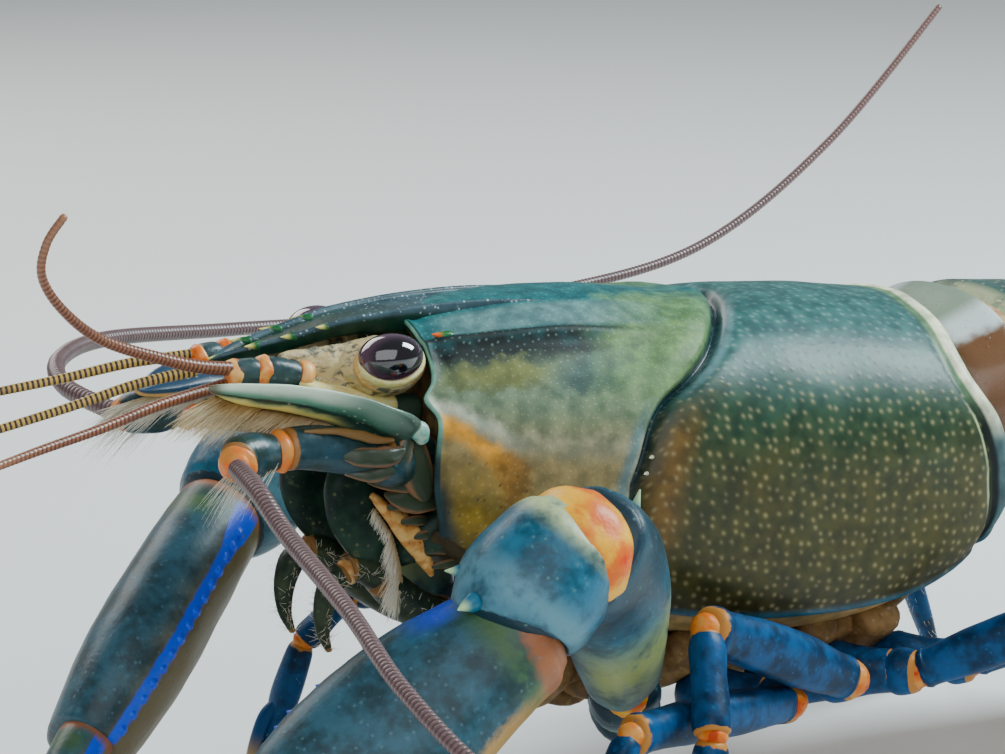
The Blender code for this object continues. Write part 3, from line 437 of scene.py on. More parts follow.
def buildCarapace():
    count = carapacePlan["around"]
    angles = [360 * k / count for k in range(count)]
    steps, fine = carapacePlan["stretch"], carapacePlan["fineStep"]
    shares = [(i + 0.5) / steps for i in range(steps)]
    atGroove, atRear = [[first + fine * i for i in range(many)]
                        for first, many in (carapacePlan["grooveSteps"], carapacePlan["rearSteps"])]
    places = [(kind, value) for kind, values in (
        ("front", carapacePlan["frontSteps"]), ("head", shares), ("groove", atGroove), ("flank", shares),
        ("rear", atRear)) for value in values]
    rings, marks = [], []
    for kind, value in places:
        ring, row = [], []
        for degrees in angles:
            fold = min(degrees, 360 - degrees)
            front, groove, rear = readTable(fineSeams, fold)
            x = {"front": front + value, "head": front + 2.0 + value * (groove - front - 3.7),
                 "groove": groove + value, "flank": groove + 1.7 + value * (rear - groove - 3.9),
                 "rear": rear + value}[kind]
            lift = carapaceRelief(x, fold, x - front, x - groove, rear - x)
            ring.append(carapacePoint(x, degrees, lift))
            along = (x - front) / (groove - front) if x < groove else 1 + (x - groove) / (rear - groove)
            row.append({"along": along, "run": fold, "fromGroove": x - groove, "fromFront": x - front,
                        "fromRear": rear - x})
        arc = 0.0
        for k in range(count):
            row[k]["arc"] = arc
            arc += (ring[(k + 1) % count] - ring[k]).length
        for k in range(count // 2 + 1, count):
            row[k]["arc"] -= arc
        rings.append(ring)
        marks.append(row)
    # both ends turn inwards over a lip and close with a flat face
    for x, where, flag in ((carapacePlan["frontFace"], 0, -1.0), (carapacePlan["rearFace"], -1, 3.0)):
        lip = [p + (Vector((p.x, 0, 28)) - p).normalized() * carapacePlan["lip"] for p in rings[where]]
        face = [carapacePoint(x, a, -carapacePlan["rimInset"]) for a in angles]
        between = [a.lerp(b, 0.5) for a, b in zip(face, lip)]
        inner = [{**m, "part": flag} for m in marks[where]]
        if where == 0:
            rings[:0] = [face, between, lip]
            marks[:0] = [inner, inner, [{**m, "part": -0.4} for m in marks[0]]]
        else:
            rings += [lip, between, face]
            marks += [marks[-1], inner, inner]
    skin = Skin()
    skin.addRings(rings, lambda i, k: marks[i][k])
    return skin


def addRostrum(skin):
    # a plate with raised edges; it sinks into the carapace at the back
    rows = smoothRows(carapacePlan["rostrum"], 7)
    rings = []
    for x, halfWidth, top, under in rows:
        edge = min(0.2, halfWidth * 0.4)
        tall = top - under
        outline = [(halfWidth, top - 0.3 * tall), (halfWidth + 0.03, top - edge * 0.3),
                   (halfWidth - edge * 0.5, top + edge * 0.5), (halfWidth - edge * 1.4, top + edge * 0.1),
                   (halfWidth - edge * 2.4, top - edge * 0.9), (halfWidth * 0.35, top - edge * 1.25)]
        outline = outline + [(-y, z) for y, z in reversed(outline)]
        lower = [(-halfWidth * 0.93, top - 0.65 * tall), (-halfWidth * 0.78, under),
                 (-halfWidth * 0.3, under - edge * 0.7)]
        outline += lower + [(-y, z) for y, z in reversed(lower)]
        closed = smoothRows(outline[-1:] + outline + outline[:2], 3)[3:-3]
        rings.append([Vector((x, y, z)) for y, z in closed][:-1])

    def marks(i, k):
        p = rings[i][k]
        x, halfWidth, top, under = rows[i]
        return {"along": 0.3, "part": 1.0, "run": (top - p.z) / max(top - under, 0.1), "fromFront": 9.0,
                "fromGroove": -9.0, "fromRear": 9.0, "arc": p.y}
    skin.addRings(rings, marks)
    for s in (-1, 1):
        for x, y, z in carapacePlan["teeth"]:
            thorn(skin, (x, s * (y - 0.08), z - 0.12), (-1, s * 0.26, 0.12), 0.95, 0.29, part=2.0)
        thorn(skin, (-14.9, s * 4.42, 35.35), (-1, s * 0.1, 0.25), 1.0, 0.36, part=4.0)
        for degrees in carapacePlan["grooveSpines"]:
            x = readTable(fineSeams, degrees)[1] + 0.45
            thorn(skin, carapacePoint(x, s * degrees, -0.3), (-0.8, s * 0.7, 0.15), 0.5, 0.13, part=3.0)
    thorn(skin, (-27.7, 0, 34.6), (-1, 0, 0.05), 0.72, 0.26, part=2.0)


def shellColours():
    finish = Finish("speckledShell", {"Coat Weight": 0.05, "Coat Roughness": 0.3, "Specular IOR Level": 0.26})
    tone = carapacePlan
    along, around, fromGroove = finish.fields("along run fromGroove")
    part, fromFront, fromRear = finish.fields("part fromFront fromRear")
    cloud, mottle, fine = finish.noise(0.3, 4), finish.noise(0.9, 5), finish.noise(2.6, 4)
    degrees = around + (cloud - 0.5) * 26 + (mottle - 0.5) * 16 + (fine - 0.5) * 5
    place = along + (cloud - 0.5) * 0.18 + (mottle - 0.5) * 0.1

    def patch(alongCentre, degreeCentre, alongReach, degreeReach):
        a = (place - alongCentre) / alongReach
        b = (degrees - degreeCentre) / degreeReach
        return (a * a + b * b).ease(1.7, 0.0)

    near = around + (mottle - 0.5) * 7 + (fine - 0.5) * 3
    fold = near - along.ease(-0.05, 0.4) * 15
    # painted sheen: a pale teal reflection painted on the head between the rostrum's edge line and the side
    # ridge
    sheen = around.ease(13, 19) * around.ease(33, 29) * along.ease(0.9, 0.55) * along.ease(0.0, 0.16)
    head = finish.layers(
        tone["crown"],
        (degrees.ease(26, 38), tone["band"]),
        (near.ease(41, 55), tone["flank"]),
        (patch(0.24, 53, 0.2, 9), tone["olivePatch"]),
        (patch(0.64, 51, 0.2, 10) * 0.8, tone["blue"]),
        (near.ease(64, 88), tone["lowFlank"]),
        (near.ease(82, 100) * place.ease(0.62, 0.2), tone["yellow"]),
        (fold.hill(73, 8) * along.ease(0.5, 0.2), tone["orange"]),
        (patch(0.36, 88, 0.09, 5) * 0.7, tone["rust"]),
        (fold.hill(64.5, 7) * (along.ease(0.5, 0.05) * 0.75 + 0.2), tone["pale"]),
        (patch(0.84, 34, 0.27, 30) * (fine.ease(0.75, 0.3) * 0.35 + 0.65), tone["dome"]),
        (sheen * 0.7, (0.15, 0.27, 0.27)),
        # painted shade: a thin dark line along the underside of the side ridge
        (around.hill(33.5, 2.4) * along.ease(0.85, 0.5), (0.002, 0.008, 0.008)),
        # painted highlight: a pale blue band on the head's lower flank just before the groove
        (fromGroove.hill(-0.9, 0.8) * degrees.ease(58, 74) * 0.8, tone["grooveEdgeHighlight"]))
    gill = finish.layers(
        tone["gillTop"],
        (degrees.ease(34, 72), tone["gillMiddle"]),
        (degrees.ease(62, 100), tone["gillLow"]),
        (fromGroove.hill(1.9, 2.0) * degrees.ease(52, 76) * degrees.ease(116, 90) * 0.65, tone["rust"]),
        (fromRear.ease(2.6, 1.2) * 0.5, tone["band"]))

    # pale dots: small and bluish on the crown, larger and cream on the flanks
    flat = finish.join(finish.axis(0), finish.field("arc"))
    size = finish.noise(0.9, 1) * 0.12 + 0.03
    small = (finish.cells(1.85, flat, True, 0.6) - size).ease(0.13, -0.06)
    large = finish.cells(1.3, flat, True, 0.62) - size
    large = large.ease(0.11, -0.05) * 0.55 + large.ease(0.3, 0.0) * 0.45
    rear = fromGroove.ease(0, 1)
    dots = small * (1 - rear) + large * rear
    dotColour = finish.mix(degrees.ease(40, 62), (0.34, 0.52, 0.50), (0.56, 0.47, 0.24))
    weight = rear * degrees.ease(30, 95) * 0.07 + 0.19
    pits = finish.cells(0.75, flat, True, 1.0).ease(0.1, 0.03) * around.ease(84, 92) * along.ease(0.6, 0.4)

    rearLine = finish.mix(around.ease(58, 76), (0.13, 0.24, 0.13), tone["band"])
    rearRim = finish.mix(around.ease(66, 84), tone["rim"], (0.060, 0.125, 0.140))
    frontRim = finish.layers(
        tone["mint"],
        (around.ease(74, 92), tone["groove"]),
        (around.ease(52, 40), tone["rostrumSide"]),
        (fromFront.ease(0.12, 0.02) * around.ease(62, 52), tone["mint"]))
    lowShell = finish.mix(fromFront.ease(2, 8), (0.05, 0.035, 0.015), tone["belly"])
    inside = finish.layers(
        tone["belly"],
        (mottle.ease(0.35, 0.65), (0.10, 0.06, 0.025)),
        (around.ease(84, 104), (0.035, 0.028, 0.012)))
    plate = finish.layers(
        tone["rostrumTop"],
        (around.ease(0.05, 0.3), tone["rostrumSide"]),
        (finish.cells(2.6).ease(0.26, 0.12) * around.ease(0.3, 0.1) * 0.6, (0.55, 0.66, 0.66)))
    tooth = finish.mix(along.ease(0.35, 0.8), (0.012, 0.12, 0.035), tone["yellowTip"])
    spine = finish.mix(along.ease(0.4, 0.8), (0.02, 0.16, 0.04), (0.7, 0.10, 0.01))
    outside = part.ease(-0.3, -0.08)
    colour = finish.layers(
        head,
        (fromGroove.ease(-0.2, 0.5), gill),
        # painted shade: the lower flanks grow darker toward the underside
        (around.ease(104, 126) * 0.6, (0.02, 0.016, 0.006)),
        (fromGroove.hill(0.15, 0.7), tone["groove"]),
        # painted reflection: a pale blue band on the wall just behind the groove, on the upper flank
        (fromGroove.hill(1.0, 0.65) * around.ease(8, 22) * around.ease(66, 50) * 0.6, tone["grooveWallSheen"]),
        (dots * weight * degrees.ease(140, 124), dotColour),
        (pits * 0.6, (0.05, 0.035, 0.012)),
        (fromRear.ease(1.75, 1.2), rearLine),
        (fromRear.hill(1.85, 0.25) * around.ease(62, 74) * around.ease(108, 92), (0.36, 0.44, 0.24)),
        (fromRear.ease(1.12, 0.85), rearRim),
        (fromFront.ease(1.5, 0.3) * near.ease(86, 98) * outside * 0.9, (0.004, 0.030, 0.045)),
        (part.ease(-0.08, -0.3), (0.008, 0.035, 0.035)),
        (fromFront.ease(0.26, 0.12) * outside * around.ease(11, 18) * around.ease(150, 135), frontRim),
        (around.hill(127, 4) * fromFront.ease(2, 6), tone["lowRim"]),
        (around.ease(130, 136), lowShell),
        (part.ease(-0.5, -0.9), inside),
        (part.hill(1, 0.3), plate),
        (part.hill(2, 0.3), tooth),
        (part.hill(3, 0.3) * fromGroove.hill(0, 0.001), (0.5, 0.5, 0.36)),
        (part.hill(4, 0.3), spine))
    shade = finish.mix(mottle.ease(0.3, 0.7), (0.62, 0.64, 0.64), (1.2, 1.18, 1.12))
    roughness = (mottle * 0.16 + 0.29 + dots * 0.08 - fromGroove.hill(0.3, 1.2) * 0.1
                 + around.ease(27, 36) * fromGroove.ease(-0.3, -1.2) * 0.22)
    height = (dots * 0.5 + finish.noise(9, 3) * 0.25 + mottle * 0.4) * (1 - fromGroove.hill(0.2, 1.4) * 0.9)
    return finish.wear(finish.mix(1.0, colour, shade, "MULTIPLY"), roughness, height, 0.035, 0.7)


shellSkin = buildCarapace()
addRostrum(shellSkin)
makePiece("carapaceShell", shellSkin, shellColours(), ["carapace"])
print("stage: carapace")


eyePlan = {
    "centre": (-18.8, 4.65, 34.45), "axis": (-0.1, 0.94, 0.33), "radii": (2.05, 1.5, 1.75), "rings": 24,
    "stalk": ((-20.4, 0.5, 33.7, 0.6, 0.5), (-20.3, 1.6, 33.8, 1.4, 1.05), (-19.8, 2.7, 33.9, 1.9, 1.5)),
    "brow": ((-15.9, 1.5, 33.2, 0.8, 0.8), (-17.6, 1.6, 33.4, 0.75, 0.75), (-19.6, 1.9, 33.7, 0.8, 0.8)),
    # how far along the axis and down, half width, half thickness: end of the stalk, socket, yellow ring
    "seat": ((-0.9, 0.8, 2.15, 1.75), (0.15, 1, 2.12, 1.62), (0.55, 1, 1.95, 1.45)),
    "socket": ((0.2, 0.7, 2.3, 1.7), (0.5, 0.8, 2.28, 1.66), (0.72, 0.9, 2.1, 1.5)),
    "ring": ((0.4, 0.45, 2.12, 1.56), (0.75, 0.55, 2.12, 1.54), (1.05, 0.5, 1.95, 1.38)),
}


def corneaColours():
    finish = Finish("wetCornea", {"Coat Weight": 1.0, "Coat Roughness": 0.02, "Specular IOR Level": 0.8})
    along = finish.field("along")
    colour = finish.layers(
        (0.004, 0.002, 0.005),
        (along.ease(0.93, 0.72), (0.075, 0.03, 0.06)),
        (along.ease(0.56, 0.42), (0.26, 0.14, 0.17)))
    return finish.wear(colour, 0.07, finish.cells(14), 0.01, 0.15)


def creamColours(name, flecks):
    finish = Finish(name, {"Subsurface Weight": 0.08, "Subsurface Scale": 0.001})
    cloud, fine = finish.noise(0.8, 4), finish.noise(3.6, 5, finish.stretched(0.6, 1, 1.3))
    x, z = finish.axis(0), finish.axis(2)
    streak = finish.noise(1.0, 5, finish.join(x * 0.8 - z * 0.9, z * 0.5 + x * 0.4))
    along, part, wide = finish.fields("along part wide")
    yellow = finish.mix(fine.ease(0.35, 0.65), (0.80, 0.66, 0.20), (0.85, 0.78, 0.42))
    orange = finish.mix(fine.ease(0.4, 0.6), (0.68, 0.34, 0.10), (0.66, 0.46, 0.20))
    colour = finish.layers(
        (0.52, 0.37, 0.15),
        (cloud.ease(0.3, 0.7), (0.62, 0.50, 0.26)),
        (fine.ease(0.55, 0.75) * 0.5, (0.70, 0.62, 0.42)),
        ((streak + (fine - 0.5) * 0.5).ease(0.5, 0.62) * flecks, (0.035, 0.055, 0.05)),
        ((cloud * 0.5 + streak * 0.5).ease(0.44, 0.36) * flecks * 0.6, (0.18, 0.30, 0.30)),
        (part.hill(1, 0.4), yellow),
        (part.hill(1, 0.4) * wide.ease(0.35, 0.6) * along.ease(0.75, 0.45), (0.01, 0.05, 0.06)),
        (part.hill(2, 0.4), orange))
    return finish.wear(colour, fine * 0.3 + 0.35, fine + streak, 0.08, 0.8)


corneaMaterial = corneaColours()
creamMaterial = creamColours("fleckedCream", 0.85)
for label, s in sides:
    centre, axis = mirrored([eyePlan["centre"], eyePlan["axis"]], s)
    centre, axis = Vector(centre), Vector(axis).normalized()
    reach, tall, out = eyePlan["radii"]
    layers = []
    for i in range(eyePlan["rings"] + 1):
        t = -math.cos(math.pi * i / eyePlan["rings"])
        r = max(math.sqrt(max(1 - t * t, 0)), 0.02)
        layers.append((*(centre + axis * t * out), reach * r, tall * r))
    ball = Skin()
    tube(ball, layers, (1, 0, 0), count=44, steps=1, domes=(0, 0))
    makePiece("cornea_" + label, ball, corneaMaterial, ["eye_" + label])
    seat, low = centre - axis * 0.5, Vector((0.1, 0, -0.42))
    seats, socket, ring = [[(*(seat + axis * up + low * down), w, h) for up, down, w, h in eyePlan[key]]
                           for key in ("seat", "socket", "ring")]
    stalk = Skin()
    tube(stalk, mirrored(eyePlan["stalk"], s) + seats, (1, 0, 0), count=36, domes=(0.5, 0.12))
    tube(stalk, mirrored(eyePlan["brow"], s), (0, 0, 1), count=16)
    tube(stalk, socket, (1, 0, 0), count=40, part=2.0, domes=(0.1, 0.08))
    tube(stalk, ring, (1, 0, 0), count=40, part=1.0, domes=(0.1, 0.06))
    makePiece("eyestalkSkin_" + label, stalk, creamMaterial, ["eyestalk_" + label])
print("stage: eyes")


def jointedColours(name, plan):
    # plan: body, dark, light, joint, rim colours and how far the joint colour reaches from the ends;
    # the mark part picks joint skin 1, tip 2, edge knob 3, dull plate 4 or mint knob 5
    finish = Finish(name, {"Coat Weight": plan.get("coat", 0.25), "Coat Roughness": 0.2,
                           "Specular IOR Level": plan.get("gloss", 0.34)})
    along, part, wide, thick = finish.fields("along part wide thick")
    cloud, mottle, grain = finish.noise(0.45, 4), finish.noise(1.7, 4), finish.noise(8, 3)
    body = finish.layers(
        plan["dark"],
        ((cloud + (mottle - 0.5) * 0.5).ease(0.3, 0.7), plan["body"]),
        (mottle.ease(0.6, 0.8) * 0.5, plan["light"]))
    if "under" in plan:
        body = finish.mix((thick + (cloud - 0.5) * 0.8).ease(0.0, 0.8) * 0.85, body, plan["under"])
    if "edge" in plan:
        keel = wide
        if plan.get("edgeTurn"):
            keel = wide * math.cos(plan["edgeTurn"]) + thick * math.sin(plan["edgeTurn"])
        line = (keel + along.ease(0.3, 0.08) * 0.045 + (mottle - 0.5) * 0.012).ease(0.984, 0.996)
        body = finish.layers(
            body,
            ((wide * -1 + (mottle - 0.5) * 0.15).ease(0.86, 0.97), plan["tan"]),
            (line * along.ease(0.02, 0.1), plan["edge"]))
    if "heel" in plan:
        heel = along.hill(*plan["heel"]) * wide.ease(0.42, 0.72) * thick.ease(0.15, -0.25)
        body = finish.mix(heel, body, plan["edge"])
    for centre, width, way, tint in plan.get("patches", ()):
        spread = along.hill(centre, width) * (cloud + mottle * 0.5).ease(0.4, 0.85)
        body = finish.mix(spread * (thick * way).ease(-0.4, 0.4), body, tint)
    start, end = plan["ends"]
    wobble = (mottle - 0.5) * 0.05
    ends = (along + wobble + wide * plan.get("rimTilt", 0)).ease(start, start * 0.5) if start else along * 0
    if end < 1:
        ends = ends + (along + wobble).ease(end, end + (1 - end) * 0.5)
    swirl = finish.noise(plan.get("swirl", 0.9), 4, finish.stretched(1, 0.6, 1))
    skin = finish.layers(
        plan["joint"],
        (swirl.ease(0.42, 0.6), plan["jointPale"]),
        (swirl.ease(0.4, 0.3), plan["jointDeep"]))
    tip = finish.mix(along.ease(0.35, 0.8), plan["body"], plan["tip"])
    plate = finish.mix(wide.maths("ABSOLUTE").ease(0.55, 0.85), (0.035, 0.050, 0.028), (0.22, 0.115, 0.055))
    mint = finish.mix(mottle.ease(0.3, 0.7), (0.12, 0.36, 0.30), (0.40, 0.60, 0.46))
    colour = finish.layers(
        body,
        (ends * part.hill(0, 0.4), plan["rim"]),
        (finish.cells(1.5).ease(0.2, 0.1) * 0.45, plan["light"]),
        (part.hill(1, 0.4), skin),
        (part.hill(2, 0.4), tip),
        (part.hill(3, 0.4), plan.get("edge", plan["tip"])),
        (part.hill(4, 0.4), plate),
        (part.hill(5, 0.4), mint))
    height = grain * 0.4 + finish.cells(3.2) * 0.5 + mottle * 0.6
    return finish.wear(colour, mottle * 0.18 + plan["roughness"], height, 0.045, plan.get("bump", 0.6))


def membrane(skin, joint, direction, radius, length=1.0, count=20):
    # the soft skin that bulges a little between two hard pieces
    joint, direction = Vector(joint), Vector(direction).normalized()
    rows = []
    for t, r in ((-1.0, 0.72), (-0.6, 0.9), (-0.2, 1.0), (0.2, 1.0), (0.6, 0.9), (1.0, 0.72)):
        rows.append((*(joint + direction * length * t), radius * r, radius * r))
    tube(skin, rows, direction.orthogonal(), count=count, steps=3, part=1.0, bumps=(0.7, 0.09))


def bisector(before, joint, after):
    into = (Vector(joint) - Vector(before)).normalized()
    out = (Vector(after) - Vector(joint)).normalized()
    return (into + out).normalized()


def segment(skin, start, end, side, profile, **more):
    # profile rows: share of the way, half width, half thickness, shift along side
    start, end = Vector(start), Vector(end)
    heading = (end - start).normalized()
    wide = (Vector(side) - heading * heading.dot(Vector(side))).normalized()
    rows = [(*(start.lerp(end, t) + wide * move), w, h) for t, w, h, move in profile]
    tube(skin, rows, side, **{"square": 2.4, "domes": (0.35, 0.25), "count": 24, **more})


orangeSkin = {"joint": (0.70, 0.12, 0.0), "jointPale": (0.88, 0.43, 0.015), "jointDeep": (0.62, 0.03, 0.001)}
legPlan = {
    "body": (0.001, 0.062, 0.185), "dark": (0.001, 0.018, 0.050), "light": (0.006, 0.10, 0.25), "coat": 0.03,
    "gloss": 0.16, "rim": (0.42, 0.17, 0.03), "tip": (0.55, 0.36, 0.12), "ends": (0.018, 0.985),
    "roughness": 0.34, "bump": 0.3, "joint": (0.60, 0.13, 0.006), "jointPale": (0.60, 0.25, 0.05),
    "jointDeep": (0.42, 0.035, 0.001)}
legsPlan = {
    2: {"x": 2.4, "ischium": (5.6, -11.2, 11.4), "knee": (-10.2, -18.0, 13.6), "wrist": (-13.4, -19.4, 10.0),
        "foot": (-16.6, -21.0, 0.0), "pincer": True, "radius": 1.15, "step": (1.6, 0.8)},
    3: {"x": 7.4, "ischium": (10.4, -10.6, 12.0), "knee": (-3.4, -15.4, 18.4), "wrist": (-5.2, -19.0, 13.0),
        "foot": (-7.8, -20.6, 0.0), "pincer": True, "radius": 1.4, "step": (2.6, -0.6)},
    4: {"x": 12.4, "ischium": (15.6, -10.4, 11.6), "knee": (24.4, -18.6, 17.0), "wrist": (27.4, -21.0, 12.0),
        "foot": (31.0, -24.6, 0.0), "pincer": False, "radius": 1.25, "step": (-2.2, 0.6)},
    5: {"x": 17.0, "ischium": (20.4, -9.6, 11.4), "knee": (31.6, -14.2, 15.6), "wrist": (35.8, -15.8, 11.0),
        "foot": (42.0, -18.0, 0.0), "pincer": False, "radius": 1.15, "step": (-2.8, 0.4)},
}
# the forms of a leg's pieces: share of the way, half width and half thickness as shares of the leg's radius,
# shift aside; root, hip and the tips are in millimetres
legForms = {
    "root": (5.7, 11.2),
    "hip": ((0, 1.15, 1.15, 0), (0.5, 1.5, 1.45, 0), (1.0, 1.35, 1.3, 0)),
    "thigh": ((0.02, 0.82, 0.75, 0), (0.06, 1.02, 0.95, 0), (0.1, 0.98, 0.93, 0), (0.35, 1.2, 1, 0.05),
              (0.65, 1.16, 1, 0.1), (0.88, 1.02, 0.95, 0.03), (0.955, 1.1, 1.02, 0), (0.985, 0.98, 0.92, 0)),
    "shin": ((0.06, 0.62, 0.62, 0), (0.2, 0.78, 0.76, 0), (0.5, 0.74, 0.73, 0), (0.85, 0.83, 0.8, 0),
             (0.96, 0.76, 0.74, 0)),
    "hand": ((0.03, 0.62, 0.62, 0), (0.1, 0.8, 0.74, 0), (0.36, 0.98, 0.78, 0), (0.52, 0.78, 0.64, 0),
             (0.8, 0.44, 0.42, 0)),
    "handTip": ((0.94, 0.3, 0.28, 0), (0.99, 0.16, 0.16, 0)),
    # share of the way, millimetres aside, radii
    "nipper": ((0.44, 0.35, 0.4, 0.42), (0.55, 0.95, 0.44, 0.42), (0.8, 1.0, 0.32, 0.3)),
    "nipperTip": ((0.95, 0.62, 0.2, 0.2), (0.985, 0.4, 0.1, 0.1)),
    "ankle": ((0.03, 0.6, 0.6, 0), (0.12, 0.74, 0.72, 0), (0.45, 0.68, 0.62, 0), (0.68, 0.5, 0.47, 0)),
    "toe": ((0.0, 0.4, 0.38, 0), (0.12, 0.46, 0.42, 0), (0.6, 0.34, 0.32, 0.15)),
    "toeTip": ((0.93, 0.24, 0.22, 0.1), (0.985, 0.12, 0.12, 0)),
}
legMaterial = jointedColours("legShell", legPlan)


def buildLeg(number, label, s):
    plan = legsPlan[number]
    r = plan["radius"]
    step, spread = (0.0, 0.0) if s < 0 else plan["step"]

    def place(key, share):
        x, y, z = plan[key]
        return Vector((x + step * share, s * (-y + spread * share), z))

    def form(key, tip=()):
        return [(t, r * w, r * h, move) for t, w, h, move in legForms[key]] + list(tip)

    rootY, rootZ = legForms["root"]
    root = Vector((plan["x"], s * rootY, rootZ))
    ischium, knee = place("ischium", 0.1), place("knee", 0.6)
    wrist, foot = place("wrist", 0.8), place("foot", 1)
    out = Vector((0, s, 0))
    upper = Skin()
    tube(upper, [(*root, 1.7, 1.6), (*(root + out * 0.9), 1.95, 1.85),
                 (*(root.lerp(ischium, 0.4) + out * 0.4), 1.55, 1.5), (*root.lerp(ischium, 0.72), 1.4, 1.35)],
         (0, 0, 1), count=22, domes=(0.2, 0.3))
    segment(upper, root.lerp(ischium, 0.66), ischium, (0, 0, 1), legForms["hip"], domes=(0.3, 0.5))
    membrane(upper, ischium, bisector(root, ischium, knee), r * 0.92, 0.85)
    segment(upper, ischium, knee, (0, 0, 1), form("thigh"), bumps=(1.4, 0.05))
    membrane(upper, knee, bisector(ischium, knee, wrist), r * 0.7, 0.62)
    makePiece(f"legUpper{number}_{label}", upper, legMaterial, [f"leg_{number}_{label}_upper"])

    lower = Skin()
    segment(lower, knee, wrist, (0, 1, 0.1), form("shin"), bumps=(1.4, 0.04))
    membrane(lower, wrist, bisector(knee, wrist, foot), r * 0.64, 0.45)
    if plan["pincer"]:
        segment(lower, wrist, foot, (0, 1, 0.1), form("hand", legForms["handTip"]), domes=(0.3, 0.6))
        toe = (foot - wrist).normalized()
        side = Vector((-1, 0, 0.2))
        side = (side - toe * toe.dot(side)).normalized()
        nipper = [(t, aside, r * w, r * h) for t, aside, w, h in legForms["nipper"]]
        nipper += legForms["nipperTip"]
        tube(lower, [(*(wrist.lerp(foot, t) + side * aside), w, h) for t, aside, w, h in nipper],
             (0, 1, 0), count=16, part=2.0)
    else:
        segment(lower, wrist, foot, (0, 1, 0.1), form("ankle"), domes=(0.3, 0.4))
        segment(lower, wrist.lerp(foot, 0.68), foot, (0, 1, 0.1), form("toe", legForms["toeTip"]),
                part=2.0, domes=(0.4, 0.6))
    makePiece(f"legLower{number}_{label}", lower, legMaterial, [f"leg_{number}_{label}_lower"])
    return wrist, foot


feet = {(number, label): buildLeg(number, label, s) for label, s in sides for number in legsPlan}
print("stage: walking legs")


clawPlan = {
    "body": (0.022, 0.095, 0.135), "dark": (0.008, 0.034, 0.044), "light": (0.08, 0.17, 0.21),
    "rim": (0.30, 0.105, 0.04), "tip": (0.60, 0.52, 0.24), "ends": (0.1, 1.0), "roughness": 0.36, "coat": 0.1,
    "edge": (0.004, 0.07, 0.72), "tan": (0.40, 0.22, 0.05), "under": (0.17, 0.125, 0.045),
    "patches": ((0.13, 0.1, -1, (0.05, 0.115, 0.04)),), "rimTilt": 0.012, **orangeSkin}
armPlan = {
    "body": (0.012, 0.135, 0.225), "dark": (0.005, 0.050, 0.080), "light": (0.10, 0.24, 0.24),
    "rim": (0.006, 0.028, 0.045), "tip": (0.40, 0.62, 0.32), "ends": (0.0, 0.975), "roughness": 0.33,
    "coat": 0.1, **orangeSkin,
    # merus patches: the olive one near the root is partly olive shell and partly painted highlight; the dark
    # ones towards the elbow are painted shade
    "patches": ((0.3, 0.36, -1, (0.27, 0.31, 0.10)), (0.7, 0.3, 1, (0.006, 0.03, 0.035)),
                (0.85, 0.35, -1, (0.006, 0.026, 0.040)))}
# the carpus's first patch, cream by the elbow, is a painted highlight
wristPlan = {**armPlan, "swirl": 0.42, "patches": (
    (0.04, 0.2, -1, (0.40, 0.46, 0.22)), (0.8, 0.3, -1, (0.10, 0.26, 0.33)))}
clawsPlan = {
    "left": {"root": (-3.0, -5.7, 10.6), "ischium": (-6.7, -11.6, 14.0), "elbow": (-13.8, -19.8, 26.0),
             "palm": (-20.0, -19.4, 21.4), "claw": (-0.79, -0.03, -0.60), "wide": (0.05, 0.60, 0.80),
             "bend": (1.35, -0.75, 0.15), "edgeTurn": 0.0, "leans": (1, 0.95, 0.82, 0.65, 0.55, 0.5, 0.45),
             "wristSkin": 2.1},
    "right": {"root": (-3.0, 5.7, 10.6), "ischium": (-6.8, 11.6, 13.6), "elbow": (-13.2, 18.6, 23.8),
              "palm": (-20.6, 15.2, 20.6), "claw": (-0.685, -0.385, -0.61), "wide": (0.05, -0.60, 0.80),
              "bend": (0.2, 0.1, 0.0), "edgeTurn": 0.55, "leans": (1, 0.95, 0.7, 0.35, 0.1, 0, 0),
              "wristSkin": 2.7},
}
# share of the way, half width, half thickness, shift aside; from the carpus on, millimetres along the claw
clawForms = {
    "hip": ((0, 1.9, 1.9, 0), (0.28, 2.15, 2.05, 0), (0.42, 1.6, 1.6, 0)),
    "base": ((0.44, 1.5, 1.5, 0), (0.56, 2.0, 1.8, 0), (0.8, 2.25, 1.85, 0), (1.02, 2.1, 1.8, 0)),
    "merus": ((0.03, 1.5, 1.3, 0), (0.08, 2.25, 1.95, 0.1), (0.25, 2.85, 2.35, 0.3), (0.55, 3.5, 2.9, 0.5),
              (0.8, 3.8, 3.2, 0.2), (0.93, 3.95, 3.4, -0.4),
              (1.01, 3.95, 3.4, -1.0), (1.05, 3.75, 3.2, -1.25)),
    "carpus": ((-0.06, 3.0), (0.03, 3.6), (0.2, 3.95), (0.42, 4.2), (0.67, 4.2), (0.88, 3.75), (0.98, 3.2)),
    "elbowSkin": ((-1.5, 2.9), (-0.6, 3.4), (0.2, 3.55), (1.0, 3.45), (1.7, 3.1)),
    "palm": ((-0.6, 2.8, 2.4, -0.2), (0.0, 3.45, 2.9, -0.15), (1.8, 3.95, 3.1, 0.0), (6.0, 4.8, 3.3, 0.1),
             (11.0, 5.4, 3.4, 0.0), (15.0, 5.2, 3.1, -0.2), (18.2, 4.6, 2.6, -0.5)),
    "fixed": ((14.0, 2.0, 1.8, -2.6), (18.0, 2.4, 2.1, -2.75), (22.0, 2.1, 1.8, -2.8),
              (27.0, 1.6, 1.35, -2.2), (31.0, 1.0, 0.9, -1.3), (33.3, 0.4, 0.4, -0.5)),
    "moving": ((18.3, 1.4, 1.5, 2.0), (19.2, 1.8, 1.75, 2.1), (23.0, 1.75, 1.6, 2.3), (27.5, 1.35, 1.2, 2.1),
               (31.0, 0.85, 0.8, 1.5), (33.1, 0.36, 0.36, 0.9)),
}
clawMaterial = jointedColours("clawShell", clawPlan)
